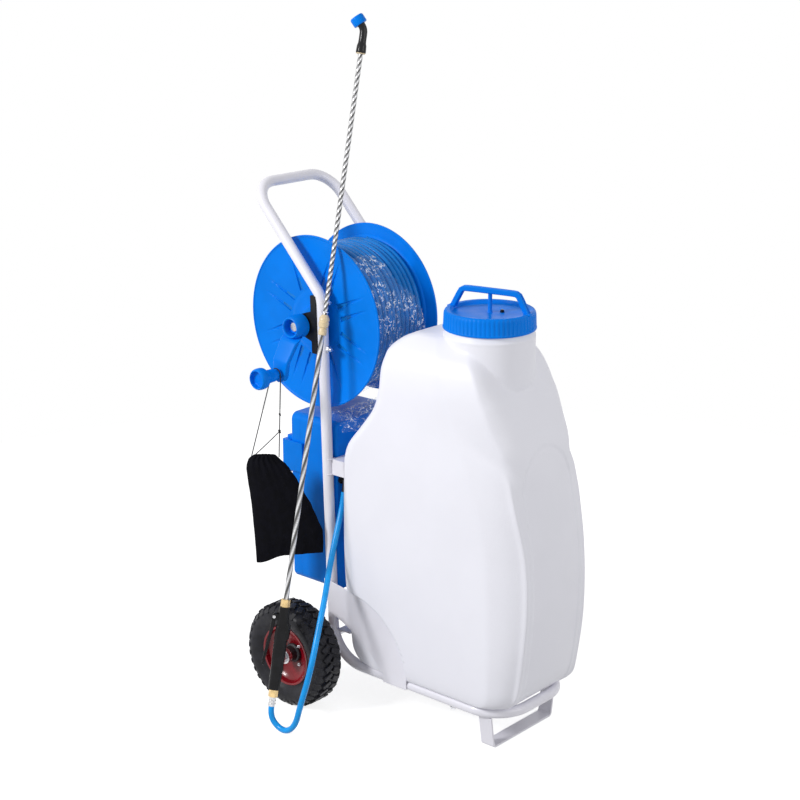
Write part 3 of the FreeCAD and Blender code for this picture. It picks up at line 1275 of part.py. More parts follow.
tip = S.switch_tall / 2 - 0.5
rocker = padded("rocker", outline(
    (pivot_y - 7, S.panel_height - 10), (pivot_y + 5.5, S.panel_height - tip),
    (pivot_y + 3.7, S.panel_height), (pivot_y + 1.7, S.panel_height + tip),
    (pivot_y - 7, S.panel_height + 10)), S.switch_wide, (S.switch_side - S.switch_wide / 2, 0, 0),
        **FLAT_SIDE)
switch_pin = rod("switch_pin", switch_pin_r, S.switch_wide + 4,
                 (S.switch_side - S.switch_wide / 2 - 2, pivot_y, S.panel_height), **FLAT_SIDE)
node("power_switch", fuse("power_switch", rocker, switch_pin))
node("pressure_dial", turned("pressure_dial", outline(
    (-8, 0), (-8, dial_spindle), (0, dial_spindle), (0, S.dial_r), (S.dial_long - 2, S.dial_r),
    (S.dial_long, S.dial_r - 2), (S.dial_long, 0)), (S.dial_side, behind(S.box_back) + S.clearance,
        S.panel_height),
    V(0, 1, 0)))

# Lance and trigger gun on one slanting line

low_point = vec(S.lance_low_x, behind(S.lance_low_y), S.lance_low_z)
top_point = vec(S.lance_top_x, behind(S.lance_top_y), S.lance_top_z)
lance_long = (top_point - low_point).Length
lance_dir = (top_point - low_point).normalize()
# the lever of the gun points outwards and back
lever_dir = V(-0.658, 0.753, 0)
lever_dir = (lever_dir - lance_dir * lever_dir.dot(lance_dir)).normalize()


def on_lance(distance):
    """The point of the lance line at a distance above the top of the gun."""
    d = size(distance)
    return (S.lance_low_x + d * lance_dir.x, behind(S.lance_low_y) + d * lance_dir.y,
        S.lance_low_z + d * lance_dir.z)


LANCE = dict(x_dir=lever_dir, z_dir=lance_dir)
GUN_SIDE = dict(x_dir=lever_dir, z_dir=lever_dir.cross(lance_dir))
lower_r, upper_r = S.lower_tube_d / 2, S.upper_tube_d / 2
node("lance_lower_tube", turned("lance_lower_tube", rectangle(
    0, lower_r - S.lower_tube_wall, S.lower_tube_end, lower_r), on_lance(0), lance_dir))
lock_start = S.lower_tube_end - S.lock_long / 2
node("lance_lock_nut", turned("lance_lock_nut", outline(
    (0, lower_r + S.running), (0, S.lock_r), (S.lock_long * 0.45, S.lock_r), (S.lock_long * 0.55,
        S.lock_r - 2),
    (S.lock_long, S.lock_r - 2), (S.lock_long, upper_r + S.running),
    (S.lock_long / 2 + S.clearance, upper_r + S.running), (S.lock_long / 2 + S.clearance,
        lower_r + S.running)),
    on_lance(lock_start), lance_dir))
upper_start = S.lower_tube_end - S.overlap
collar_bore = S.collar_long * 0.8
node("lance_upper_tube", turned("lance_upper_tube", rectangle(
    0, upper_r - S.upper_tube_wall, lance_long - upper_start + collar_bore, upper_r),
        on_lance(upper_start), lance_dir))

collar = turned("nozzle_collar", outline(
    (0, upper_r), (0, S.collar_r), (S.collar_long, S.collar_r - 1), (S.collar_long + 6, S.elbow_r),
    (S.collar_long + 6, 0), (collar_bore, 0), (collar_bore, upper_r)), on_lance(lance_long), lance_dir)
bend = math.radians(num(S.elbow_turn))
arm_dir = lance_dir * math.cos(bend) + lever_dir * math.sin(bend)
elbow_foot = low_point + lance_dir * (lance_long + num(S.collar_long))
elbow_corner = elbow_foot + lance_dir * num(S.elbow_long)
elbow_end = elbow_corner + arm_dir * num(S.elbow_arm + S.nozzle_long * 0.6)
elbow_bar = shaped("elbow_bar", swept(rounded_path([elbow_foot, elbow_corner, elbow_end],
    [num(S.elbow_r) * 1.6]),
                                      num(S.elbow_r)))
node("nozzle_elbow", fuse("nozzle_elbow", collar, elbow_bar))
nozzle_at = elbow_corner + arm_dir * num(S.elbow_arm)
node("nozzle_cap", turned("nozzle_cap", outline(
    (0, S.elbow_r + S.running), (0, S.nozzle_r - 1), (2, S.nozzle_r), (S.nozzle_long - 3, S.nozzle_r),
    (S.nozzle_long, S.nozzle_r - 3), (S.nozzle_long, 1), (S.nozzle_long * 0.6 + S.clearance, 1),
    (S.nozzle_long * 0.6 + S.clearance, S.elbow_r + S.running)), tuple(nozzle_at), arm_dir))

gun_end = -S.gun_long
gun_grip = padded("gun_grip", outline(
    (-12, 0), (-13, -30), (-16, -62), (-16, -105), (-13, gun_end), (13, gun_end), (14.5, -115), (15, -75),
    (12.5, -60), (12.5, -8), (12, 0)), S.gun_wide, on_lance(0), midplane=True, **GUN_SIDE)
ear_outline = outline((10, -S.trigger_down - 10), (S.trigger_out, -S.trigger_down - 6),
                      (S.trigger_out, -S.trigger_down + 6, 6), (10, -S.trigger_down + 10))
ears = padded("gun_ears_blank", ear_outline, S.trigger_wide + 8, on_lance(0), midplane=True, **GUN_SIDE)
ear_gap = padded("gun_ear_gap", rectangle(12.5, -S.trigger_down - 20, 40, -S.trigger_down + 20),
                 S.trigger_wide + 2 * S.clearance, on_lance(0), midplane=True, **GUN_SIDE)
pivot = low_point + lever_dir * num(S.trigger_out) - lance_dir * num(S.trigger_down)
pin_dir = lever_dir.cross(lance_dir)
pin_length = num(S.trigger_wide) + 8
trigger_pin = rod("trigger_pin", S.trigger_pin_r, pin_length, tuple(pivot - pin_dir * (pin_length / 2)),
                  x_dir=lance_dir, z_dir=pin_dir)
node("gun_body", fuse("gun_body", gun_grip, cut("gun_ears", ears, ear_gap), trigger_pin))
node("gun_trigger", padded("gun_trigger", outline(
    (S.trigger_out - 4, -S.trigger_down - 16),
    (S.trigger_out + 9, -S.trigger_down - S.trigger_long + 4), (S.trigger_out + 16,
        -S.trigger_down - S.trigger_long + 6),
    (S.trigger_out + 6, -S.trigger_down), (S.trigger_out - 6, -S.trigger_down, 6)),
    S.trigger_wide, on_lance(0), circles=[(S.trigger_out, -S.trigger_down, S.trigger_pin_r + S.running)],
    midplane=True, **GUN_SIDE))
node("gun_nuts", group(
    "gun_nuts",
    padded("gun_nut_top", hexagon(S.gun_nut_af), S.gun_nut_t, on_lance(0), circles=[(0, 0, lower_r)],
        **LANCE),
    padded("gun_nut_bottom", hexagon(S.gun_nut_af), S.gun_nut_t, on_lance(gun_end - S.gun_nut_t),
           circles=[(0, 0, S.ferrule_r / 2)], **LANCE)))
ferrule_low = gun_end - S.gun_nut_t - S.ferrule_long
node("hose_ferrule", turned("hose_ferrule", rectangle(0, S.ferrule_r / 2, S.ferrule_long, S.ferrule_r),
                            on_lance(ferrule_low), lance_dir))

hook_centre = low_point + lance_dir * num(S.lower_tube_end + S.hook_over_tube)
hook_height = hook_centre.z
hook_wire = 1.6
hook_r = num(upper_r) + 0.7 + hook_wire
upright_here = vec(-S.frame_half, upright_y(size(hook_height)), hook_height)
to_upright = (upright_here - hook_centre).normalize()
hook_ring = doc.addObject("Part::Torus", "hook_ring")
hook_ring.Radius1 = hook_r
hook_ring.Radius2 = hook_wire
place(hook_ring, tuple(hook_centre), **LANCE)
hook_tail = rod("hook_tail", hook_wire, (upright_here - hook_centre).Length - num(tube_r) - hook_r + 0.02,
                tuple(hook_centre + to_upright * hook_r), x_dir=to_upright.cross(V(0, 0, 1)).normalize(),
                z_dir=to_upright)
node("lance_hook", fuse("lance_hook", hook_ring, hook_tail))

# Spray hose from the gun's ferrule, over the floor and up to the pump outlet

hose_start = low_point + lance_dir * num(ferrule_low)
HOSE_ROUTE = [
    (-365, -78, 7.3), (-365, -107, 7.3), (-362, -130, 30), (-353, -136, 72), (-327, -143, 146),
    (-287, -130, 222), (-238, -107, 288), (-192, -80, 345), (-151, -61.5, 404), (-126, -53.5, 446)]
hose_points = [hose_start, hose_start - lance_dir * 24] + [vec(x, behind(y), z) for x, y, z in HOSE_ROUTE]
hose_points += [outlet_tip + (outlet_tip - outlet_bend).normalize() * 26, outlet_tip]
radii = hose_radii(hose_points)
hose_path = rounded_path(hose_points, radii)
print("spray hose: arc radii", [round(r) for r in radii], f"length {hose_path.Length:.0f} mm")
print("spray hose: ends", [round(c, 1) for c in (*hose_points[1], *hose_points[-2], *hose_points[-1])])
node("spray_hose", shaped("spray_hose", swept(hose_path, num(S.hose_d) / 2)))

# Drawstring bag that hangs from the knob's neck by its cord

VIEW = V(0.658, -0.753, 0)
THROUGH = V(0.753, 0.658, 0)
BAG_DEPTH = -122
# height, left and right edge, thickness
BAG_SECTIONS = [(593, -250, -178, 14), (575, -262, -160, 30), (540, -264, -136, 42), (470, -258, -112, 44),
                (400, -250, -90, 38), (343, -243, -88, 12)]


def bag_point(along, depth, height):
    point = VIEW * along + THROUGH * (BAG_DEPTH + depth)
    return V(point.x, point.y + num(behind(0)), height)


def bag_section(height, left, right, thick):
    """A lens-shaped section of the bag: two bowed faces between rounded edges."""
    edge = thick / 4
    front = [bag_point(left + edge, -edge, height), bag_point((left + right) / 2, -thick / 2, height),
             bag_point(right - edge, -edge, height)]
    back = [bag_point(right - edge, edge, height), bag_point((left + right) / 2, thick / 2, height),
            bag_point(left + edge, edge, height)]
    right_edge, left_edge = bag_point(right, 0, height), bag_point(left, 0, height)
    return Part.Wire([Part.Arc(*front).toShape(), Part.Arc(front[2], right_edge, back[0]).toShape(),
                      Part.Arc(*back).toShape(), Part.Arc(back[2], left_edge, front[0]).toShape()])


node("bag", shaped("bag", Part.makeLoft([bag_section(*row) for row in BAG_SECTIONS], True, True)))

neck_point = vec(-(crank_out + S.clearance + S.knob_neck / 2), knob_y, knob_z)
loop_r = num(S.knob_neck_r + S.clearance + S.cord_d / 2)
cord_ends = [bag_point(along, 0, BAG_SECTIONS[0][0]) for along in (
    BAG_SECTIONS[0][1] + num(S.cord_inset), BAG_SECTIONS[0][2] - num(S.cord_inset))]


def touch_angle(point, sense):
    """Where a tight cord from the point first touches the loop round the neck, seen along the neck."""
    dy, dz = point.y - neck_point.y, point.z - neck_point.z
    return math.atan2(dz, dy) + sense * math.acos(loop_r / math.hypot(dy, dz))


first_touch, last_touch = touch_angle(cord_ends[0], 1), touch_angle(cord_ends[1], -1) + 2 * math.pi
quarter = (last_touch - first_touch) / 4
corner_r = loop_r / math.cos(quarter)
cord_points = [cord_ends[0]]
for angle in (first_touch + quarter, last_touch - quarter):
    cord_points.append(neck_point + V(0, corner_r * math.cos(angle), corner_r * math.sin(angle)))
cord_points.append(cord_ends[1])
node("bag_cord", shaped("bag_cord", swept(rounded_path(cord_points, [loop_r * 0.97] * 2),
    num(S.cord_d) / 2)))

# Check every object and write one STEP file per node

doc.recompute()
faults = []
for obj in doc.Objects:
    if "Invalid" in obj.State or "Error" in obj.State:
        faults.append(f"{obj.Label}: {obj.State}")
for name, obj in NODES.items():
    shape = obj.Shape
    if shape.isNull() or not shape.isValid() or not shape.Solids or min(s.Volume for s in shape.Solids) <= 0:
        faults.append(f"{name}: no valid solid")
if faults:
    raise RuntimeError("; ".join(faults))
os.makedirs("parts", exist_ok=True)
for name, obj in NODES.items():
    obj.Shape.exportStep(f"parts/{name}.step")
print(len(NODES), "nodes written")
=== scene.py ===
import bpy
import bmesh
import json
import math
from mathutils import Matrix, Vector, noise


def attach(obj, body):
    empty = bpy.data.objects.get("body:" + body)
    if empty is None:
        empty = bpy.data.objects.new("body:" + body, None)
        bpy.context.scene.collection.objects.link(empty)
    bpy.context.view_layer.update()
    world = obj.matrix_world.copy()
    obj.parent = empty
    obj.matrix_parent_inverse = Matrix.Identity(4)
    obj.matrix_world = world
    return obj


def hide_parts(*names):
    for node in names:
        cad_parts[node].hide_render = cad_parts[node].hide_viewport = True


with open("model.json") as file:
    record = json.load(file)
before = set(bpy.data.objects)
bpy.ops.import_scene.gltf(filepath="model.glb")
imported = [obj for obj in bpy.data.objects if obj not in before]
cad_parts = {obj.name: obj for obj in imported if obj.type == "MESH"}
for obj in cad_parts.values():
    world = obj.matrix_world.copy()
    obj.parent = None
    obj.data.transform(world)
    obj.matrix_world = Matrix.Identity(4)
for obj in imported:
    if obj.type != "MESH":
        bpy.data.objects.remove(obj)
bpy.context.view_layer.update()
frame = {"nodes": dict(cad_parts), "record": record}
nodes = frame["nodes"]
scene = bpy.context.scene
scene.view_settings.view_transform = "Standard"

wheelAxleY = 0.486       # the model's origin lies under the front foot
quarterTurn = math.pi / 2
xAxis, yAxis, zAxis = Vector((1, 0, 0)), Vector((0, 1, 0)), Vector((0, 0, 1))


def atAxle(x, y, z):
    # millimetres from the wheel axle, to metres in the model's frame
    return Vector((x / 1000, y / 1000 + wheelAxleY, z / 1000))


# camera and light
camera = {"place": (-2.9302, -2.2056, 1.8726), "azimuth": -48.83, "elevation": 16.5, "lens": 79.13}

cameraData = bpy.data.cameras.new("camera")
cameraData.lens = camera["lens"]
cameraData.sensor_width = 36
cameraData.clip_end = 100
cameraObject = bpy.data.objects.new("camera", cameraData)
cameraObject.location = camera["place"]
cameraObject.rotation_euler = (math.radians(90 - camera["elevation"]), 0, math.radians(camera["azimuth"]))
scene.collection.objects.link(cameraObject)
scene.camera = cameraObject


# materials
class Wire:
    # a value that runs through a material; arithmetic on it adds Math nodes
    def __init__(self, owner, socket):
        self.owner, self.socket = owner, socket

    def maths(self, operation, *others):
        return self.owner.node("ShaderNodeMath", {"operation": operation}, dict(enumerate((self, *others))))

    def __add__(self, other):
        return self.maths("ADD", other)

    def __mul__(self, other):
        return self.maths("MULTIPLY", other)

    def __sub__(self, other):
        return self.maths("SUBTRACT", other)

    def __rsub__(self, other):
        return self.owner.node("ShaderNodeMath", {"operation": "SUBTRACT"}, {0: other, 1: self})

    __radd__, __rmul__ = __add__, __mul__


class NodeTree:
    # one tree of nodes, with short ways to add to it
    def __init__(self, tree):
        self.tree = tree

    def feed(self, socket, value):
        if isinstance(value, Wire):
            self.tree.links.new(value.socket, socket)
        elif socket.type == "RGBA" and len(value) == 3:
            socket.default_value = (*value, 1)
        else:
            socket.default_value = value

    def node(self, kind, settings, values, output=0):
        made = self.tree.nodes.new(kind)
        for name, value in settings.items():
            if name == "stops":
                ramp = made.color_ramp
                while len(ramp.elements) < len(value):
                    ramp.elements.new(0.5)
                for element, (position, colour) in zip(ramp.elements, value):
                    element.position, element.color = position, (*colour, 1)
            else:
                setattr(made, name, value)
        for key, value in values.items():
            self.feed(made.inputs[key], value)
        return Wire(self, made.outputs[output])

    def place(self, turn=(0, 0, 0)):
        spot = self.node("ShaderNodeTexCoord", {}, {}, "Object")
        return self.node("ShaderNodeMapping", {}, {"Vector": spot, "Rotation": turn})

    def noise(self, scale, detail=3, rough=0.5):
        return self.node("ShaderNodeTexNoise", {}, {"Vector": self.place(), "Scale": scale, "Detail": detail,
                                                    "Roughness": rough})

    def spread(self, value, low, high, toLow=0.0, toHigh=1.0):
        return self.node("ShaderNodeMapRange", {"interpolation_type": "SMOOTHSTEP"},
                         {"Value": value, 1: low, 2: high, 3: toLow, 4: toHigh})

    def blend(self, factor, first, second):
        return self.node("ShaderNodeMix", {"data_type": "RGBA"}, {0: factor, 6: first, 7: second}, 2)

    def ramp(self, value, stops):
        return self.node("ShaderNodeValToRGB", {"stops": stops}, {"Fac": value})

    def along(self, axis):
        spot = self.node("ShaderNodeTexCoord", {}, {}, "UV")
        return self.node("ShaderNodeSeparateXYZ", {}, {0: spot}, axis)


class Finish(NodeTree):
    def __init__(self, name, **plain):
        self.material = bpy.data.materials.new(name)
        self.material.use_nodes = True
        super().__init__(self.material.node_tree)
        self.shader = next(n for n in self.tree.nodes if n.type == "BSDF_PRINCIPLED")
        for label, value in plain.items():
            self.feed(self.shader.inputs[label.replace("_", " ")], value)

    def pebbled(self):
        # 1 on the band between the tank's side crease and its front ridge
        spot = self.node("ShaderNodeTexCoord", {}, {}, "Object")
        x, y, z = (self.node("ShaderNodeSeparateXYZ", {}, {0: spot}, axis) for axis in range(3))
        wide = x.maths("ABSOLUTE")
        facet = self.spread(wide, 0.112, 0.118) * (1 - self.spread(wide, 0.145, 0.149))
        facet *= self.spread(z, 0.13, 0.17) * (1 - self.spread(z, 0.58, 0.66))
        return facet * (1 - self.spread(y, -0.03, 0.0))

    def colour(self, value):
        self.feed(self.shader.inputs["Base Color"], value)

    def roughness(self, value):
        self.feed(self.shader.inputs["Roughness"], value)

    def bump(self, height, strength, distance):
        self.feed(self.shader.inputs["Normal"], self.node(
            "ShaderNodeBump", {}, {"Height": height, "Strength": strength, "Distance": distance}))


def shaded(name, colour, amount, scale, patches=None, grain=None, **plain):
    # a colour that varies a little; patches of other roughness and a fine grain are at choice
    finish = Finish(name, **plain)
    low = [c * (1 - amount) for c in colour]
    high = [min(1, c * (1 + amount)) for c in colour]
    finish.colour(finish.blend(finish.spread(finish.noise(scale), 0.35, 0.65), low, high))
    if patches:
        size, detail, smooth, rough = patches
        finish.roughness(finish.spread(finish.noise(size, detail), 0.3, 0.7, smooth, rough))
    if grain:
        size, detail, strength, distance = grain
        finish.bump(finish.noise(size, detail), strength, distance)
    return finish


colours = {
    "frame": (0.82, 0.81, 0.88), "zinc": (0.62, 0.62, 0.65), "black": (0.008, 0.008, 0.01),
    "blue": (0.0, 0.195, 0.78), "tank": (0.85, 0.85, 0.92), "brass": (0.75, 0.55, 0.27),
    "tyre": (0.012, 0.012, 0.016), "rim": (0.2, 0.003, 0.009), "steel": (0.6, 0.6, 0.61),
    "hose": (0.0, 0.17, 0.55), "spray": (0.0, 0.31, 0.8), "metal": (0.03, 0.03, 0.034),
    "strainer": (0.05, 0.05, 0.06), "seal": (0.02, 0.02, 0.02), "fabric": (0.002, 0.002, 0.004),
    "cord": (0.01, 0.01, 0.012), "grip": (0.006, 0.006, 0.007), "cream": (0.72, 0.58, 0.36)}

framePaint = shaded("framePaint", colours["frame"], 0.025, 6, None, (350, 2, 0.06, 0.0004),
                    Roughness=0.38, Coat_Weight=0.25)
zincPlate = shaded("zincPlate", colours["zinc"], 0.12, 90, (220, 3, 0.25, 0.45), Metallic=1.0)
blackPlastic = shaded("blackPlastic", colours["black"], 0.25, 30, (60, 3, 0.38, 0.55), (900, 2, 0.12, 0.0003),
                      Specular_IOR_Level=0.2)
bluePlastic = shaded("bluePlastic", colours["blue"], 0.05, 14, (25, 4, 0.3, 0.42), (500, 2, 0.05, 0.0003),
                     Specular_IOR_Level=0.09)
tankPlastic = shaded("tankPlastic", colours["tank"], 0.012, 5, (9, 4, 0.42, 0.52))
tankPebbles = tankPlastic.node("ShaderNodeTexVoronoi", {}, {"Vector": tankPlastic.place(), "Scale": 210})
tankPlastic.bump(tankPlastic.noise(420, 3) + tankPebbles * tankPlastic.pebbled() * 2.4, 0.16, 0.0005)
brassMetal = shaded("brassMetal", colours["brass"], 0.12, 120, (260, 3, 0.22, 0.4), Metallic=1.0)
tyreRubber = shaded("tyreRubber", colours["tyre"], 0.3, 45, (70, 4, 0.34, 0.55), (600, 3, 0.2, 0.0004),
                    Specular_IOR_Level=0.22)
rimPaint = shaded("rimPaint", colours["rim"], 0.12, 25, (80, 3, 0.2, 0.34), Specular_IOR_Level=0.3,
                  Coat_Weight=0.25)
machinedSteel = shaded("machinedSteel", colours["steel"], 0.1, 150, (300, 3, 0.2, 0.36), Metallic=1.0)
hoseVinyl = shaded("hoseVinyl", colours["hose"], 0.12, 26, (50, 3, 0.24, 0.36), Specular_IOR_Level=0.25)
sprayVinyl = shaded("sprayVinyl", colours["spray"], 0.1, 26, (50, 3, 0.2, 0.32), Specular_IOR_Level=0.3)
darkMetal = shaded("darkMetal", colours["metal"], 0.3, 90, Metallic=0.5, Roughness=0.36)
strainerPlastic = shaded("strainerPlastic", colours["strainer"], 0.2, 60, Roughness=0.55)
rubberSeal = shaded("rubberSeal", colours["seal"], 0.2, 60, Roughness=0.6)
bagCloth = shaded("bagCloth", colours["fabric"], 0.3, 60, None, (900, 2, 0.15, 0.0003),
                  Roughness=0.85, Specular_IOR_Level=0.1)
cordBraid = shaded("cordBraid", colours["cord"], 0.3, 300, Roughness=0.8)
gripPlastic = shaded("gripPlastic", colours["grip"], 0.3, 40, (70, 3, 0.28, 0.42), (1100, 2, 0.2, 0.0004),
                     Specular_IOR_Level=0.2)
glossBlack = shaded("glossBlack", colours["grip"], 0.2, 60, Roughness=0.22, Specular_IOR_Level=0.3)
creamPlastic = shaded("creamPlastic", colours["cream"], 0.1, 120, Roughness=0.35)
# the light and dark stripes round each strand of the twist are painted highlight and painted shade, laid
# along the tube's UV
twistedSteelPaintedLight = Finish("twistedSteelPaintedLight", Metallic=0.35)
twistedSteelPaintedLight.colour(twistedSteelPaintedLight.ramp(twistedSteelPaintedLight.along(0).maths("FRACT"), (
    (0.0, (0.03,) * 3), (0.16, (0.2,) * 3), (0.4, (0.66, 0.66, 0.68)), (0.55, (0.86, 0.86, 0.88)),
    (0.7, (0.42,) * 3), (0.86, (0.12,) * 3), (1.0, (0.03,) * 3))))
twistedSteelPaintedLight.roughness(twistedSteelPaintedLight.spread(twistedSteelPaintedLight.noise(200), 0.3, 0.7, 0.24, 0.36))
# clear film: the white crinkle streaks that its alpha lets show are painted glints, and its faint emission is
# painted light, a glow the film does not have
clearFilmPaintedGlints = Finish("clearFilmPaintedGlints", Base_Color=(0.9, 0.95, 1.0), Roughness=0.2, Specular_IOR_Level=0.4,
                   Emission_Color=(0.75, 0.88, 1.0), Emission_Strength=0.28)
glintPatches = clearFilmPaintedGlints.spread(clearFilmPaintedGlints.noise(17, 4, 0.65), 0.42, 0.6)
glintCells = clearFilmPaintedGlints.node("ShaderNodeTexVoronoi", {"feature": "DISTANCE_TO_EDGE"}, {
    "Vector": clearFilmPaintedGlints.place((0.4, 0.2, 0.3)), "Scale": 150})
# painted glints: white streaks in patches, cut up by the cells
paintedGlintStreaks = clearFilmPaintedGlints.spread(clearFilmPaintedGlints.noise(95, 5, 0.75), 0.52, 0.56)
paintedGlintStreaks *= 1 - clearFilmPaintedGlints.spread(glintCells, 0.02, 0.2)
clearFilmPaintedGlints.feed(clearFilmPaintedGlints.shader.inputs["Alpha"], paintedGlintStreaks * glintPatches * 0.85 + 0.03)
clearFilmPaintedGlints.bump(clearFilmPaintedGlints.noise(70, 5, 0.7), 0.5, 0.002)

slotFinishes = {
    "frame_paint": framePaint, "zinc": zincPlate, "black_plastic": blackPlastic, "tank_plastic": tankPlastic,
    "blue_plastic": bluePlastic, "bush": brassMetal, "brass": brassMetal, "rubber": tyreRubber,
    "rim_red": rimPaint, "steel": machinedSteel, "hose_blue": hoseVinyl, "inner_hose": hoseVinyl,
    "gasket": rubberSeal, "strainer": strainerPlastic, "battery": blackPlastic, "pump": darkMetal,
    "lance_steel": machinedSteel, "lock_brass": brassMetal, "ferrule": machinedSteel,
    "bag_fabric": bagCloth, "cord": cordBraid}
for part in frame["record"]["subparts"]:
    cad = nodes[part["node"]]
    cad.data.materials.clear()
    cad.data.materials.append(slotFinishes[part["material_slot"]].material)
print("cart: finishes on the solids")

# cords first: the spray hose, the wound hose and the bag's drawcord
sprayHose = {
    "diameter": 0.014, "length": 0.66,
    "route": [(-365, -78, 7.3), (-365, -107, 7.3), (-362, -130, 30), (-353, -136, 72), (-327, -143, 146),
              (-287, -130, 222), (-238, -107, 288), (-192, -80, 345), (-151, -61.5, 404), (-126, -53.5, 446)]}


def cordCurve(name, points, diameter, sides):
    curve = bpy.data.curves.new(name, "CURVE")
    curve.dimensions = "3D"
    curve.bevel_depth = diameter / 2
    curve.bevel_resolution = sides // 4
    curve.use_fill_caps = True
    spline = curve.splines.new("NURBS")
    spline.points.add(len(points) - 1)
    for knot, point in zip(spline.points, points):
        knot.co = (*point, 1)
    spline.order_u = 3
    spline.use_endpoint_u = True
    spline.resolution_u = 8
    piece = bpy.data.objects.new(name, curve)
    scene.collection.objects.link(piece)
    return piece


def dress(piece, body, finish, stands=()):
    # a material, a body to ride on, and the solids that the piece stands for
    piece.data.materials.append(finish.material)
    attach(piece, body)
    if stands:
        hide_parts(*stands)
    return piece


lance = {"low": (-307, -49, 280), "top": (-12.2, -24.1, 1502.7), "gunLength": 0.193, "gunNut": 0.018,
         "ferrule": 0.022, "lever": (-0.658, 0.753, 0)}
lanceLow, lanceTop = atAxle(*lance["low"]), atAxle(*lance["top"])
lanceLength = (lanceTop - lanceLow).length
lanceWay = (lanceTop - lanceLow).normalized()
leverWay = Vector(lance["lever"])
leverWay = (leverWay - lanceWay * leverWay.dot(lanceWay)).normalized()
acrossWay = lanceWay.cross(leverWay)


def onLance(distance):
    return lanceLow + lanceWay * distance


hoseExit = onLance(-lance["gunLength"] - lance["gunNut"] - lance["ferrule"])
outletBend, outletTip = atAxle(-97, -45.0, 528), atAxle(-104, -47.0, 503)
sprayPoints = [hoseExit, hoseExit - lanceWay * 0.024] + [atAxle(*p) for p in sprayHose["route"]]
sprayPoints += [outletTip + (outletTip - outletBend).normalized() * 0.026, outletTip]
hosePiece = dress(cordCurve("sprayHose", sprayPoints, sprayHose["diameter"], 16), "frame", sprayVinyl,
                  ["spray_hose"])

reel = {"height": 896, "behind": 45, "winding": 0.165, "pitch": 0.0147, "turns": 11, "hose": 0.014,
        "perTurn": 24}
reelCentre = atAxle(0, reel["behind"], reel["height"])
perTurn = reel["perTurn"]
windingPoints = []
for i in range(reel["turns"] * perTurn + 1):
    angle = 2 * math.pi * i / perTurn
    wander = reel["winding"] + 0.0009 * math.sin(i * 0.37) + 0.0005 * math.sin(i * 1.3)
    # the curve cuts its corners, so its points lie a little further out
    radius = wander * 2 / (1 + math.cos(math.pi / perTurn))
    sway = 0.0003 * math.sin(i * 0.21)
    windingPoints.append(reelCentre + Vector((reel["pitch"] * (i / perTurn - reel["turns"] / 2) + sway,
                                              radius * math.sin(angle), radius * math.cos(angle))))
dress(cordCurve("woundHose", windingPoints, reel["hose"], 12), "reel", hoseVinyl,
      ["hose_winding"])

crank = {"reach": 106, "lean": math.radians(8), "inner": 190, "thick": 16, "set": 26, "bend": 20, "bent": 76,
         "hubHalf": 27, "endHalf": 20.5, "rows": 60, "knobAt": -0.2063}
crankWay = Vector((0, math.sin(crank["lean"]), -math.cos(crank["lean"])))
knobCentre = reelCentre + crankWay * crank["reach"] / 1000
bagAcross, bagThrough = Vector((0.658, -0.753, 0)), Vector((0.753, 0.658, 0))


def onBag(across, depth, height):
    # the bag hangs in a plane that faces the camera
    spot = bagAcross * across + bagThrough * (depth - 122)
    return atAxle(spot.x, spot.y, height)


drawCord = {"diameter": 0.0024, "length": 0.455, "loop": 0.0138, "start": 0.2, "sweep": math.pi - 0.15,
            "corners": 6, "neck": -0.2123}
neckCentre = Vector((drawCord["neck"], knobCentre.y, knobCentre.z))


def onNeck(angle, reach):
    return neckCentre + Vector((0, math.cos(angle), math.sin(angle))) * reach


cordEnds = [onBag(-246, 0, 593), onBag(-182, 0, 593)]
loop, start, sweep, corners = (drawCord[key] for key in ("loop", "start", "sweep", "corners"))
cordPoints = [cordEnds[0], cordEnds[0].lerp(onNeck(start, loop), 0.93)]
for i in range(corners):
    cordPoints.append(onNeck(start + sweep * (i + 0.5) / corners, loop / math.cos(sweep / corners / 2)))
cordPoints += [cordEnds[1].lerp(onNeck(start + sweep, loop), 0.93), cordEnds[1]]
cordPiece = dress(cordCurve("bagDrawcord", cordPoints, drawCord["diameter"], 8), "bag", cordBraid,
                  ["bag_cord"])
print("cart: hoses and cord")


# modelling helpers
def addPiece(name, bm, body, finish, stands=(), sharp=35, bevel=None, subdivide=0):
    bmesh.ops.remove_doubles(bm, verts=bm.verts, dist=1e-6)
    bmesh.ops.recalc_face_normals(bm, faces=bm.faces)
    mesh = bpy.data.meshes.new(name)
    bm.to_mesh(mesh)
    bm.free()
    mesh.shade_smooth()
    mesh.set_sharp_from_angle(angle=math.radians(sharp))
    piece = bpy.data.objects.new(name, mesh)
    scene.collection.objects.link(piece)
    if bevel:
        modifier = piece.modifiers.new("softEdges", "BEVEL")
        modifier.width, modifier.segments, modifier.limit_method = bevel, 2, "ANGLE"
        modifier.angle_limit = math.radians(sharp)
        modifier.harden_normals = True
    if subdivide:
        modifier = piece.modifiers.new("smooth", "SUBSURF")
        modifier.levels = modifier.render_levels = subdivide
    return dress(piece, body, finish, stands)


def spun(outline, centre, axis, steps, closed=True, bm=None):
    # turn a profile of (distance along the axis, radius) once round
    bm = bmesh.new() if bm is None else bm
    side = zAxis if abs(axis.z) < 0.9 else xAxis
    side = (side - axis * side.dot(axis)).normalized()
    verts = [bm.verts.new(centre + axis * a + side * r) for a, r in outline]
    edges = [bm.edges.new(pair) for pair in zip(verts, verts[1:])]
    if closed:
        edges.append(bm.edges.new((verts[-1], verts[0])))
    bmesh.ops.spin(bm, geom=verts + edges, cent=centre, axis=axis, dvec=(0, 0, 0), angle=2 * math.pi,
                   steps=steps, use_merge=True, use_duplicate=False)
    return bm


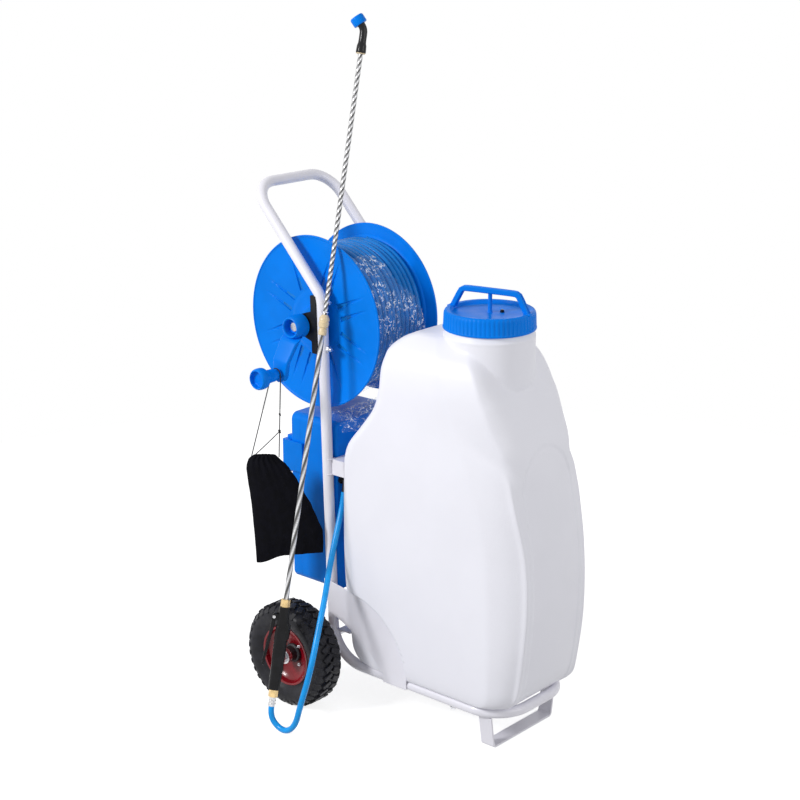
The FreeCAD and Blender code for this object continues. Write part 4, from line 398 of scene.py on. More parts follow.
def blockAt(bm, matrix, sizes, taper, bevel, segments):
    # a block of the given sizes; its far end along its own x is narrowed by the taper
    made = bmesh.ops.create_cube(bm, size=1)["verts"]
    for v in made:
        v.co = Vector((v.co.x * sizes[0], v.co.y * sizes[1] * (taper if v.co.x > 0 else 1),
                       v.co.z * sizes[2]))
    edges = list({e for v in made for e in v.link_edges})
    eased = bmesh.ops.bevel(bm, geom=edges, offset=bevel, offset_type="OFFSET", affect="EDGES",
                            segments=segments, profile=0.5, material=-1)
    made = list({v for f in eased["faces"] for v in f.verts} | {v for v in made if v.is_valid})
    bmesh.ops.transform(bm, matrix=matrix, verts=made)


def axes(origin, x, z):
    # a matrix whose own x and z lie along the given directions
    z = z.normalized()
    x = (x - z * x.dot(z)).normalized()
    y = z.cross(x)
    return Matrix(((x.x, y.x, z.x, origin.x), (x.y, y.y, z.y, origin.y),
                   (x.z, y.z, z.z, origin.z), (0, 0, 0, 1)))


def smoothed(points, radius, steps):
    # round the inner corners of an open profile
    result = [points[0]]
    for before, at, after in zip(points, points[1:], points[2:]):
        a, b, c = (Vector(p) for p in (before, at, after))
        reach = min(radius, (a - b).length * 0.45, (c - b).length * 0.45)
        p, q = b + (a - b).normalized() * reach, b + (c - b).normalized() * reach
        for i in range(steps + 1):
            t = i / steps
            result.append(tuple(p * (1 - t) ** 2 + b * 2 * t * (1 - t) + q * t ** 2))
    return result + [points[-1]]


def ringed(rows, ends=True, loop=False, texture=None, bm=None):
    # a skin over closed rings of points; texture gives each ring point its own UV
    bm = bmesh.new() if bm is None else bm
    layer = bm.loops.layers.uv.verify() if texture else None
    made = [[bm.verts.new(p) for p in row] for row in rows]
    if loop:
        made.append(made[0])
    for j, (a, b) in enumerate(zip(made, made[1:])):
        for i in range(len(a)):
            k = (i + 1) % len(a)
            face = bm.faces.new((a[i], a[k], b[k], b[i]))
            if texture:
                for corner, (u, v) in zip(face.loops, ((i, j), (i + 1, j), (i + 1, j + 1), (i, j + 1))):
                    corner[layer].uv = texture(u / len(a), v)
    if ends and not loop:
        bm.faces.new(made[0])
        bm.faces.new(made[-1])
    return bm


def draped(grid):
    # a skin over a grid of points
    bm = bmesh.new()
    made = [[bm.verts.new(p) for p in row] for row in grid]
    for a, b in zip(made, made[1:]):
        for i in range(len(a) - 1):
            bm.faces.new((a[i], a[i + 1], b[i + 1], b[i]))
    return bm


def ringAt(centre, first, second, radius, count, flute=None):
    # points round a circle; flute changes the radius with the angle
    points = []
    for i in range(count):
        angle = 2 * math.pi * i / count
        reach = radius + (flute(angle) if flute else 0)
        points.append(centre + (first * math.cos(angle) + second * math.sin(angle)) * reach)
    return points


def headings(line, first, second):
    # which way a line runs at each of its points, in the plane of two directions
    return [(first * (after[0] - before[0]) + second * (after[1] - before[1])).normalized()
            for before, after in zip(line[:1] + line[:-1], line[1:] + line[-1:])]


def inMetres(profile):
    return [(a / 1000, r / 1000) for a, r in profile]


def rounded(halfWidth, halfDepth, radius, perCorner):
    # a rectangle with round corners, centred on zero
    points = []
    for n, (sx, sy) in enumerate(((1, 1), (-1, 1), (-1, -1), (1, -1))):
        for i in range(perCorner + 1):
            angle = quarterTurn * (n + i / perCorner)
            points.append((sx * (halfWidth - radius) + radius * math.cos(angle),
                           sy * (halfDepth - radius) + radius * math.sin(angle)))
    return points


def spokes(angle):
    # the directions away from the wheel's middle and round it
    return Vector((0, math.sin(angle), math.cos(angle))), Vector((0, math.cos(angle), -math.sin(angle)))


def step(value, low, high):
    t = max(0.0, min(1.0, (value - low) / (high - low)))
    return t * t * (3 - 2 * t)


def softened(node, body, finish, bevel):
    # a solid's own shape with its flat faces joined and its edges rounded
    bm = bmesh.new()
    bm.from_mesh(nodes[node].data)
    bmesh.ops.remove_doubles(bm, verts=bm.verts, dist=1e-5)
    bmesh.ops.dissolve_limit(bm, angle_limit=math.radians(1.5), verts=bm.verts, edges=bm.edges)
    words = node.split("_")
    name = words[0] + "".join(w.title() for w in words[1:]) + "Eased"
    addPiece(name, bm, body, finish, [node], 30, bevel)


# wheels: tyre with lugs, red rim, hub
wheel = {"radius": 0.127, "track": 0.230, "lugs": 34,
         # sizes of a lug, then how far it lies out from the wheel's middle plane and from its axle
         "lug": (0.0235, 0.0125, 0.0105), "lugAt": (0.0125, 0.1212), "lugTurn": 0.5,
         "edgeLug": (0.0115, 0.019, 0.009), "edgeAt": (0.0335, 0.1125), "edgeLean": (0.69, 0.72)}
sidewall = [(0.0225, 0.068), (0.0295, 0.068), (0.0298, 0.0725), (0.036, 0.079), (0.0405, 0.088),
            (0.0423, 0.098), (0.0412, 0.107), (0.037, 0.1145), (0.030, 0.1185), (0.015, 0.1203), (0, 0.1206)]
tyreHalf = smoothed(sidewall, 0.006, 3)
rimHalf = [(0.0318, 0.0715), (0.0312, 0.0668), (0.0262, 0.0656), (0.0200, 0.0640), (0.0150, 0.0590),
           (0.0105, 0.0500), (0.0062, 0.0380), (0.0035, 0.0290), (0.0014, 0.0255), (0.0012, 0.0186)]
rimOuter = [(0.030, 0.0725), (0.0296, 0.068), (0.0205, 0.0665), (0.0155, 0.0605)]
hubHalf = [(0.0036, 0.0225), (0.0062, 0.0232), (0.0085, 0.0215), (0.0095, 0.0185), (0.0285, 0.0172),
           (0.030, 0.0158), (0.030, 0.0082)]
valve = [(0, 0), (0, 0.0045), (0.006, 0.004), (0.022, 0.0032), (0.023, 0.004), (0.032, 0.004), (0.033, 0)]


def mirrored(half):
    return [(-a, r) for a, r in reversed(half)]


for side, name in ((-1, "right"), (1, "left")):
    centre = Vector((side * wheel["track"], wheelAxleY, wheel["radius"]))
    body = "wheel_" + name
    out = Vector((side, 0, 0))
    bm = spun(tyreHalf + mirrored(tyreHalf[:-1]), centre, out, 96, False)
    for lug in range(wheel["lugs"]):
        for row, hand in enumerate((-1, 1)):
            radial, forward = spokes(2 * math.pi * (lug + row * 0.5) / wheel["lugs"])
            tilt = -hand * wheel["lugTurn"]
            spot = centre + out * hand * wheel["lugAt"][0] + radial * wheel["lugAt"][1]
            slanted = out * math.cos(tilt) + forward * math.sin(tilt)
            blockAt(bm, axes(spot, slanted, radial), wheel["lug"], 1, 0.0012, 1)
        for row, hand in enumerate((-1, 1)):
            radial, forward = spokes(2 * math.pi * (lug + row * 0.5) / wheel["lugs"])
            lean = (radial * wheel["edgeLean"][1] + out * hand * wheel["edgeLean"][0]).normalized()
            spot = centre + out * hand * wheel["edgeAt"][0] + radial * wheel["edgeAt"][1]
            blockAt(bm, axes(spot, forward, lean), wheel["edgeLug"], 0.85, 0.0012, 1)
    addPiece("tyreWithLugs" + name.title(), bm, body, tyreRubber, ["tyre_" + name], 40)
    dish = mirrored(rimOuter) + [(-a, r) for a, r in rimHalf] + rimHalf[::-1] + rimOuter
    addPiece("wheelRim" + name.title(), spun(dish, centre, out, 72), body, rimPaint,
             ["rim_" + name], 30, 0.0007)
    addPiece("wheelHub" + name.title(), spun(hubHalf + mirrored(hubHalf), centre, out, 48), body, darkMetal,
             ["hub_" + name], 30, 0.0005)
    bm = bmesh.new()
    for i in range(4):
        spot = centre + out * 0.0062 + spokes(quarterTurn * (i + 0.5))[0] * 0.0325
        for sides, low, high, depth, lift in (
                (6, 0.0042, 0.0042, 0.006, 0), (16, 0.0022, 0.0020, 0.008, 0.002)):
            bmesh.ops.create_cone(bm, cap_ends=True, segments=sides, radius1=low, radius2=high, depth=depth,
                                  matrix=axes(spot + out * lift, yAxis, out))
    addPiece("hubBolts" + name.title(), bm, body, zincPlate, (), 30, 0.0004)
    stem = centre + Vector((0, 0.035, -0.034)) + out * 0.004
    addPiece("tyreValve" + name.title(), spun(valve, stem, out, 16), body, blackPlastic, (), 30)
print("cart: wheels")

# tank: rings of points from the bottom to the neck, each ring a left half and its mirror
tank = {
    # height, back, front, half width, front end of the flat side, the ridge's X and Y, fullness of the bow
    "rings": [
        (102.6, -140, -526, 138, -462, 98, -524, 2.6), (110, -118, -540, 145, -492, 104, -542, 2.6),
        (130, -99, -562, 149, -508, 105, -558, 2.6), (168, -91, -581, 150, -512, 104, -568, 2.6),
        (269, -78, -592, 150, -512, 105, -581, 2.6), (368, -71, -597, 150, -509, 103, -585, 2.6),
        (466, -71, -595, 150, -502, 104, -578, 2.6), (556, -72, -580, 150, -481, 111, -559, 2.6),
        (606, -75, -569, 150, -463, 114, -547, 2.6), (643, -89, -561, 150, -449, 115, -539, 2.9),
        (691, -128, -547, 149, -434, 112, -528, 3.1), (739, -163, -525, 148, -417, 110, -510, 3.4),
        (789, -179, -501, 148, -394, 110, -490, 3.9), (811, -181, -487, 147, -386, 109, -480, 4.1),
        (837, -183, -470, 144, -375, 108, -470, 4.8), (860, -189, -457, 139, -366, 106, -462, 4.8),
        (883, -198, -441, 130, -352, 104, -452, 4.4), (905, -220, -424, 108, -330, 100, -445, 3.6),
        (918, -246, -410, 92, -320, 96, -440, 3.0)],
    "widest": 150, "corner": 32, "panel": 86, "archTop": 698, "archFoot": 600, "panelFoot": 112,
    "facetTop": 716, "facetFall": 62, "facetEase": 18, "filler": -389, "dome": 101, "domeRound": 26,
    "domeLow": 802, "domeFull": 824, "neck": 98.8, "rim": 95.3, "fineStep": 2.2, "fineRows": 91,
    "rowStep": 4.2,
    # points along each stretch of a half ring: the back, its corner, the side, the facet and the front
    "counts": (14, 8, 72, 22, 34)}
gussetRoom = {"top": 294, "slope": 17 / 120, "bend": -120, "centre": (-82.7, 86.7), "radius": 194,
              "front": 275, "half": 150.2, "depth": 12.7}


def tankAt(height):
    rings = tank["rings"]
    last = len(rings) - 1
    i = max(1, next((k for k, ring in enumerate(rings) if ring[0] >= height), last))
    a, b = rings[i - 1], rings[i]
    before, after = rings[max(0, i - 2)], rings[min(last, i + 1)]
    span = b[0] - a[0]
    t = (height - a[0]) / span
    values = []
    for k in range(1, len(a)):
        slopeA = (b[k] - before[k]) / (b[0] - before[0]) * span
        slopeB = (after[k] - a[k]) / (after[0] - a[0]) * span
        values.append(a[k] * (2 * t ** 3 - 3 * t ** 2 + 1) + slopeA * (t ** 3 - 2 * t ** 2 + t)
                      + b[k] * (3 * t ** 2 - 2 * t ** 3) + slopeB * (t ** 3 - t ** 2))
    return values


def tankRing(height):
    back, front, half, sideEnd, ridgeX, ridgeY, full = tankAt(height)
    backCount, cornerCount, sideCount, facetCount, frontCount = tank["counts"]
    curve = tank["corner"] * half / tank["widest"]
    points = [(-(half - curve) * i / backCount, back) for i in range(backCount)]
    points += [(-(half - curve) - curve * math.sin(a), back - curve + curve * math.cos(a))
               for a in (quarterTurn * i / cornerCount for i in range(cornerCount))]
    points += [(-half, back - curve + (sideEnd - back + curve) * i / sideCount) for i in range(sideCount)]
    bowAt = len(points)
    uppers = [0.0] * bowAt
    slope = 0.2 + 0.2 * (1 - step(height, 640, 780))
    for i in range(facetCount + frontCount + 1):
        # the lower body has a flat facet between the side and a ridge, the upper one a bowed front
        angle = quarterTurn * i / (facetCount + frontCount)
        bowX = -half * math.cos(angle) ** (2 / full)
        bowY = sideEnd + (front - sideEnd) * math.sin(angle) ** (2 / full)
        edgeX = -half + slope * (sideEnd - bowY)
        bowX = (bowX + edgeX + math.sqrt((bowX - edgeX) ** 2 + 6)) / 2 if i else -half
        if i < facetCount:
            t = i / facetCount
            belly = 6 * math.sin(math.pi * t)
            lowX = -half + (half - ridgeX) * t - belly * 0.8
            lowY = sideEnd + (ridgeY - sideEnd) * t - belly * 0.6
        else:
            t = (i - facetCount) / frontCount
            lowX = -ridgeX * (1 - t)
            lowY = front + (ridgeY - front) * (1 - t) ** 2
        # the facet ends on a slanting edge that falls towards the front and eases out past the ridge
        edge = tank["facetTop"] - tank["facetFall"] * min(1, i / facetCount)
        beyond = min(20, max(0, i - 15))
        upper = step(height, edge - tank["facetEase"] - 1.6 * beyond, edge + tank["facetEase"] + 2.2 * beyond)
        uppers.append(upper)
        points.append((lowX + (bowX - lowX) * upper, lowY + (bowY - lowY) * upper))
    for turn in range(12):
        eased = list(points)
        for i in range(bowAt - 10, len(points) - 1):
            if i > bowAt + 34:
                strength = 1.0
            elif i < bowAt + 10:
                strength = 1.0 if turn < 3 else 0.0
            else:
                strength = 0.1 + 0.9 * uppers[i]
            eased[i] = tuple(p + ((q + r) / 2 - p) * 0.5 * strength
                             for p, q, r in zip(points[i], points[i - 1], points[i + 1]))
        points = eased
    shaped = []
    for i, (x, y) in enumerate(points):
        # the bead of the ridge, and the panel between the ridges a little lower than they are
        bead = math.exp(-((i - bowAt - facetCount + 0.5) / 1.7) ** 2)
        bead *= (1 - step(height, 570, 672)) * step(height, 106, 140)
        x, y = x - 2.6 * bead, y - 3.8 * bead
        across = abs(x) / (tank["panel"] * (half / tank["widest"]))
        rise = math.sqrt(max(0, 1 - min(1, across) ** 2))
        arch = tank["archFoot"] + (tank["archTop"] - tank["archFoot"]) * rise
        inside = min((1 - across) * tank["panel"], arch - height, height - tank["panelFoot"])
        if y < -400:
            y += 2.6 * step(inside, -1.5, 3.5)
        # room for the gussets
        if y > -282 and height < 300:
            if y > gussetRoom["bend"]:
                top = gussetRoom["top"] + gussetRoom["slope"] * y - height
            else:
                top = gussetRoom["radius"] - math.dist((y, height), gussetRoom["centre"])
            pressed = step(min(top, y + gussetRoom["front"]), -2.0, 4.5)
            x = max(x, gussetRoom["depth"] * pressed - gussetRoom["half"])
        # the round dome under the cap
        away = Vector((x, y - tank["filler"]))
        swell = max(0.0, min(1.0, (height - tank["domeLow"]) / (tank["domeFull"] - tank["domeLow"])))
        if swell:
            dome = tank["dome"] - tank["domeRound"] * (1 - math.sqrt(1 - (1 - swell) ** 2))
            reach = away.length
            away *= (reach + dome + math.sqrt((reach - dome) ** 2 + 5)) / 2 / reach
        shaped.append((away.x, away.y + tank["filler"]))
    return shaped


low, high = tank["rings"][0][0], tank["rings"][-1][0]


def tankRound(radius):
    # a ring of the same number of points as the last one, on a circle round the filler
    return [tuple(Vector((x, y - tank["filler"])).normalized() * radius + Vector((0, tank["filler"])))
            for x, y in tankRing(high)]


heights = [low + tank["fineStep"] * i for i in range(tank["fineRows"])]
rows = round((high - heights[-1]) / tank["rowStep"])
heights += [heights[-1] + (high - heights[-1]) * (i + 1) / rows for i in range(rows)]
rings = [(h, tankRing(h)) for h in heights]
rings += [(h, tankRound(r)) for h, r in (
    (920, 101.4), (924, 101), (926, tank["neck"]), (944, tank["neck"]), (960, tank["neck"]), (961, 98),
    (961, 96), (959, tank["rim"]), (930, tank["rim"]), (905, tank["rim"]))]
shell = ringed([[atAxle(x, y, height) for x, y in ring + [(-x, y) for x, y in reversed(ring[1:-1])]]
                for height, ring in rings])
addPiece("tankShell", shell, "frame", tankPlastic, ["tank"], 50)
print("cart: tank")

# reel flanges: pressed discs with eight pairs of wedge-shaped channels
flange = {"inner": 92, "sheet": 3.5, "flare": 5, "flareFrom": 150, "flareWidth": 47.5, "spokes": 8,
          "gap": 15, "wide": 5, "deep": 4.8, "from": 78, "to": 168, "segments": 600, "bulge": 2.2}


def channel(radius, angle):
    turn = 2 * math.pi / flange["spokes"]
    off = (angle - turn / 2) % turn
    off = off if off < turn / 2 else off - turn
    along, across = radius * math.cos(off), abs(abs(radius * math.sin(off)) - flange["gap"])
    part = (along - flange["from"]) / (flange["to"] - flange["from"])
    if not 0 < part < 1:
        return 0
    wall = step(flange["wide"] * (1 - 0.72 * part) - across, -0.5, 0.6)
    return flange["deep"] * (1 - part) ** 0.75 * wall * step(along - flange["from"], 0, 1.2)


def flare(radius):
    return flange["flare"] * ((radius - flange["flareFrom"]) / flange["flareWidth"]) ** 1.6


for side, name in ((-1, "right"), (1, "left")):
    sheetIn, sheetOut = flange["inner"], flange["inner"] + flange["sheet"]
    profile = [(10.05, 109), (31, 109), (35, 107.5), (36.4, 104), (37.2, 99.4), (39, 98.8), (62, 98.4),
               (67, 97.8), (73, 95.8)]
    profile += [(r, sheetOut) for r in (75, 77)] + [(78.5 + 1.45 * i, sheetOut) for i in range(50)]
    profile += [(r, sheetOut + flare(r)) for r in (155, 162, 170, 178, 186, 192, 196)]
    profile += [(197.3, 101.2), (198, 102), (200, 102), (201, 101), (201, 98), (200, 97), (198, 96.6)]
    profile += [(r, sheetIn + flare(r)) for r in (195, 190, 184, 178, 174)]
    profile += [(171, sheetIn - flange["bulge"] * 0.4), (168, sheetIn - flange["bulge"])]
    profile += [(r, sheetIn - flange["bulge"]) for r in (150, 120, 95, 76, 64)]
    profile += [(60, sheetIn), (10.05, sheetIn)]
    rows = []
    for radius, out in profile:
        row = []
        for i in range(flange["segments"]):
            angle = 2 * math.pi * i / flange["segments"]
            x = side * (out - (channel(radius, angle) if out > sheetIn else 0)) / 1000
            reach = radius / 1000
            row.append(reelCentre + Vector((x, -math.cos(angle) * reach, math.sin(angle) * reach)))
        rows.append(row)
    addPiece("reelFlange" + name.title(), ringed(rows, loop=True), "reel", bluePlastic,
             ["reel_flange_" + name], 28)
print("cart: reel flanges")

# clear stretch film, wrinkled round the near side of the wound hose
film = {"radius": 173.2, "half": 89, "from": -112, "to": 62, "ragged": 26, "along": 120, "around": 200,
        "slack": 17}
grid = []
for j in range(film["around"] + 1):
    row = []
    for i in range(film["along"] + 1):
        t, s = i / film["along"], j / film["around"]
        angle = film["from"] + (film["to"] - film["from"]) * s
        reachRight = film["half"] - 1.45 * max(0, angle + 4)
        edge = film["ragged"] * noise.noise(Vector((angle * 0.05, 3.7, 0)))
        edge += 8 * noise.noise(Vector((angle * 0.3, 9, 0)))
        right = max(-film["half"] + 12, min(film["half"], reachRight + edge))
        x = -film["half"] + (right + film["half"]) * t
        crease = noise.turbulence(Vector((x * 0.028, angle * 0.11, 1.3)), 3, True)
        crinkle = noise.noise(Vector((x * 0.3, angle * 0.5, 4.1)))
        slack = step(-angle, 34, 74) * (1 - 0.75 * step(-angle, 98, 112))
        radius = film["radius"] + 3.4 * crease + 0.5 * crinkle + film["slack"] * slack * (
            0.6 + 0.4 * noise.noise(Vector((x * 0.04, angle * 0.06, 8))))
        turn = math.radians(angle)
        row.append(reelCentre + Vector((x, -radius * math.cos(turn), radius * math.sin(turn))) / 1000)
    grid.append(row)
filmPiece = addPiece("hoseFilm", draped(grid), "reel", clearFilmPaintedGlints, (), 60)

# a loose end of the same film, crumpled on the pump box
scrap = {"left": -98, "right": 88, "path": [(34, 669.6), (-14, 669.6), (-30, 664), (-37, 652), (-40, 634)],
         "swell": 20, "columns": 110, "rows": 70, "lift": 0.6}
grid = []
for j in range(scrap["rows"] + 1):
    row = []
    for i in range(scrap["columns"] + 1):
        s, t = i / scrap["columns"], j / scrap["rows"]
        ragged = 0.14 * noise.noise(Vector((s * 5, 2.2, 0)))
        place = max(0, min(0.999, 0.02 + t * (0.86 + ragged))) * (len(scrap["path"]) - 1)
        k = int(place)
        (y0, z0), (y1, z1) = scrap["path"][k], scrap["path"][k + 1]
        spot = Vector((y0 + (y1 - y0) * (place - k), z0 + (z1 - z0) * (place - k)))
        away = Vector((-0.35 - 0.65 * step(place, 1, 3), 1 - 0.8 * step(place, 1, 3))).normalized()
        x = scrap["left"] + (scrap["right"] - scrap["left"]) * s + 9 * noise.noise(Vector((t * 6, 5.1, s)))
        fold = noise.turbulence(Vector((x * 0.03, place * 1.3, 6.1)), 4, True)
        border = min(1, 7 * min(s, 1 - s, t, 1 - t))
        room = scrap["swell"] + 24 * step(place, 1.6, 2.6)
        swell = (24 + 26 * step(place, 1.2, 2.4)) * fold + 2.4 * noise.noise(Vector((x * 0.2, place * 5, 3)))
        spot += away * max(scrap["lift"], scrap["lift"] + min(room, swell * border))
        row.append(atAxle(x, spot.x, spot.y))
    grid.append(row)
scrapPiece = addPiece("filmScrap", draped(grid), "frame", clearFilmPaintedGlints, (), 60)

# crank: a hollow hub, a broad arm and a cupped knob
hub = [(-0.143, 0.0101), (-0.143, 0.0255), (-0.1445, 0.027), (-0.170, 0.027), (-0.1775, 0.0248),
       (-0.1805, 0.0236), (-0.1812, 0.0222), (-0.1808, 0.0206), (-0.1790, 0.0192), (-0.1590, 0.0180),
       (-0.1580, 0.0125), (-0.1650, 0.0118), (-0.1655, 0.0101)]
hub = spun(hub, Vector((0, reelCentre.y, reelCentre.z)), xAxis, 64)
addPiece("crankHub", hub, "reel", bluePlastic, (), 30)
down = (knobCentre - reelCentre).normalized()
aside = xAxis.cross(down)
armEnds = (-0.0265, crank["reach"] / 1000 + 0.0203)
rows = []
for i in range(crank["rows"] + 1):
    along = armEnds[0] + (armEnds[1] - armEnds[0]) * (0.5 - 0.5 * math.cos(math.pi * i / crank["rows"]))
    share = max(0, min(1, along * 1000 / crank["reach"]))
    full = (crank["hubHalf"] + (crank["endHalf"] - crank["hubHalf"]) * share) / 1000
    over = max(0, -along, along - crank["reach"] / 1000)
    half = math.sqrt(max(full * full - over * over, 1e-8))
    bent = (along * 1000 - crank["bend"]) / (crank["bent"] - crank["bend"])
    offset = crank["set"] / 1000 * (1 - min(1, max(0, bent)))
    middle = -(crank["inner"] + crank["thick"] / 2) / 1000 + offset + 0.0006
    # the arm leaves the hollow of the hub free
    floor = -crank["thick"] / 2000 + 0.0155 * (1 - step(along * 1000, 18, 32))
    rows.append([Vector((middle + max(b, floor), reelCentre.y, reelCentre.z)) + down * along + aside * a
                 for a, b in rounded(half, 0.0072, min(0.0045, half * 0.9), 6)])
addPiece("crankArm", ringed(rows), "reel", bluePlastic, ["crank_arm"], 50)
knob = [(0, 6.3), (0, 11.2), (1, 12), (10, 12), (12.5, 13.2), (14, 15), (30, 15.4), (38, 15.8), (42, 17),
        (44.5, 20.5), (48, 23.8), (53, 25), (62, 25), (67, 24), (69.6, 21.6), (70, 20.6), (69, 19.4),
        (63, 18.4), (59, 17.2), (58.4, 14), (58, 7), (58, 0)]
facets = lambda angle: 0.0007 * math.cos(9 * angle)
rows = []
for along, radius in smoothed(inMetres(knob), 0.0015, 2):
    centre = Vector((crank["knobAt"] - along, knobCentre.y, knobCentre.z))
    inCup = along > 0.056 and 0.006 < radius < 0.0188
    rows.append(ringAt(centre, yAxis, zAxis, max(radius, 1e-5), 72, facets if inCup else None))
addPiece("crankKnob", ringed(rows), "knob", bluePlastic, ["crank_knob"], 35)
print("cart: crank")

# plain solids with their edges eased
for finish, slot, solids in (
        (bluePlastic, "blue_plastic", (
            ("box_tub", "frame", 0.002), ("box_door", "door", 0.002), ("door_latch", "latch", 0.0012))),
        (framePaint, "frame_paint", (
            ("cross_member", "frame", 0.003), ("gusset_right", "frame", 0.0009),
            ("gusset_left", "frame", 0.0009), ("rear_strap", "frame", 0.001),
            ("front_foot", "frame", 0.001), ("axle_brackets", "frame", 0.0008))),
        (blackPlastic, "black_plastic", (("bearing_blocks", "frame", 0.002),)),
        (zincPlate, "zinc", (("frame_bolts", "frame", 0.0005), ("axle_nuts", "frame", 0.0008))),
        (brassMetal, "brass", (("gun_nuts", "frame", 0.0007),)),
        (blackPlastic, "black_plastic", (
            ("outlet_elbow", "frame", 0.0006), ("power_switch", "switch", 0.0006),
            ("pressure_dial", "dial", 0.0007)))):
    for node, body, bevel in solids:
        softened(node, body, finish, bevel)
print("cart: eased solids")

# lance: twisted tubes, lock nut, sleeve, bent end and nozzle cap
twist = {"repeat": 0.0165, "lowerRepeat": 0.058, "strands": 3}


def twistedTube(name, body, start, end, radius, depth, repeat, stands):
    count, sides, strands = round((end - start) / 0.0016), 24, twist["strands"]
    rows = []
    for j in range(count + 1):
        along = start + (end - start) * j / count
        turn = 2 * math.pi * along / repeat / strands
        lobes = lambda angle: depth * (abs(math.cos(1.5 * (angle - turn))) - 1)
        rows.append(ringAt(onLance(along), leverWay, acrossWay, radius, sides, lobes))
    # the UV lines the painted highlight and shade stripes up with the twisted strands
    tube = ringed(rows, texture=lambda u, v: (
        u * strands - (start + (end - start) * v / count) / repeat, v / count))
    addPiece(name, tube, body, twistedSteelPaintedLight, stands, 60)


twistedTube("lanceLower", "frame", 0.0, 0.65, 0.006, 0.0005, twist["lowerRepeat"], ["lance_lower_tube"])
twistedTube("lanceUpper", "lance_upper", 0.59, lanceLength + 0.012, 0.0055, 0.0010, twist["repeat"],
            ["lance_upper_tube"])
nut = [(627, 6.3), (627, 8.6), (628.5, 9.6), (634, 9.9), (640, 9.2), (641.5, 7.9), (643.5, 7.9), (645, 10.6),
       (651, 11.8), (656, 11.9), (657, 10.8), (659, 10.8), (660, 11.9), (665, 11.6), (669, 9.6), (671, 7.8),
       (673, 7.2), (673, 5.8)]
addPiece("lanceLockNut", spun(inMetres(nut), lanceLow, lanceWay, 40), "lock_nut", creamPlastic,
         ["lance_lock_nut"], 30)
sleeveEnd = [(-0.0016, 0.0056), (-0.0016, 0.0098), (-0.0004, 0.0105), (0.0008, 0.0105), (0.0008, 0.0056)]
addPiece("sleeveRing", spun(sleeveEnd, lanceTop, lanceWay, 36), "lance_upper", creamPlastic,
         (), 30)
bend = {"corner": 0.054, "angle": math.radians(42), "tangent": 0.010, "half": 0.0088, "steps": 8,
        "capAt": 0.012}
armWay = lanceWay * math.cos(bend["angle"]) + leverWay * math.sin(bend["angle"])
armSide = leverWay * math.cos(bend["angle"]) - lanceWay * math.sin(bend["angle"])
cornerAt = onLance(lanceLength + bend["corner"])
sleeve = [(0.0, 0.0057), (0.0, 0.0104), (0.0012, 0.0114), (0.005, 0.0115), (0.017, 0.0108), (0.019, 0.0102),
          (0.0215, 0.0092), (0.026, 0.0090)] + [(0.028 + i * 0.005, bend["half"]) for i in range(4)]
flutes = lambda angle: -0.0005 * (0.5 + 0.5 * math.cos(8 * angle)) ** 3
rows = [ringAt(onLance(lanceLength + along), leverWay, acrossWay, radius, 64,
               flutes if radius > 0.006 else None) for along, radius in sleeve]
bendRadius = bend["tangent"] / math.tan(bend["angle"] / 2)
pivot = cornerAt - lanceWay * bend["tangent"] + leverWay * bendRadius
for i in range(bend["steps"] + 1):
    angle = bend["angle"] * i / bend["steps"]
    side = leverWay * math.cos(angle) - lanceWay * math.sin(angle)
    rows.append(ringAt(pivot - side * bendRadius, side, acrossWay, bend["half"], 64, flutes))
for along, radius in ((0.0115, bend["half"]), (0.0118, bend["half"]), (0.024, bend["half"]), (0.024, 0.0002)):
    rows.append(ringAt(cornerAt + armWay * along, armSide, acrossWay, radius, 64))
addPiece("lanceBend", ringed(rows), "lance_upper", glossBlack, ["nozzle_elbow"], 40)
cap = [(0, 0.0093), (0, 0.0148), (0.0012, 0.0156), (0.003, 0.0158), (0.0165, 0.0158), (0.0188, 0.0150),
       (0.0200, 0.0135), (0.0200, 0.0112), (0.0186, 0.0106), (0.0182, 0.0042), (0.0192, 0.0038),
       (0.0192, 0.0012), (0.0130, 0.0010), (0.0130, 0.0088), (0.0, 0.0093)]
ribs = lambda angle: 0.0002 * math.cos(24 * angle)
rows = [ringAt(cornerAt + armWay * (bend["capAt"] + along), armSide, acrossWay, radius, 96,
               ribs if 0.0155 < radius else None) for along, radius in cap]
addPiece("nozzleCap", ringed(rows, loop=True), "nozzle", bluePlastic, ["nozzle_cap"], 32)
print("cart: lance")

# spray gun: grip, knuckle guard lines, lever, pin and hose ferrule
gun = {
    # distance along the lance, back and front of the grip
    "grip": [(0, -11.5, 12), (-8, -12, 12.5), (-30, -13, 12.5), (-38, -14.2, 12.5), (-42, -18.4, 13.5),
             (-50, -19.2, 14.4), (-62, -19.2, 14.8), (-72, -18.4, 15), (-76, -14.6, 14.6), (-90, -15.4, 14.4),
             (-105, -15.6, 14.2), (-150, -14.6, 13.4), (-186, -12.8, 12.8), (-193, -12, 12)],
    # how far out the lever runs, the distance along the lance and half its thickness
    "lever": [(20.6, -15, 3.4), (21, -24, 4.8), (22, -40, 4.4), (24.2, -60, 4.1), (26.6, -80, 3.9),
              (29.2, -100, 3.8), (31.4, -118, 3.6), (32.8, -131, 3.2), (33.2, -141, 2.2)],
    "half": 13.2, "slimmer": 0.9, "slimFrom": -46, "ridges": (-184, -82), "ridge": 0.45, "pitch": 0.62,
    "perStretch": 6, "leverHalf": 7.4, "leverWaist": 2.2, "pinAt": -0.024}
rows = []
grip, perStretch = gun["grip"], gun["perStretch"]
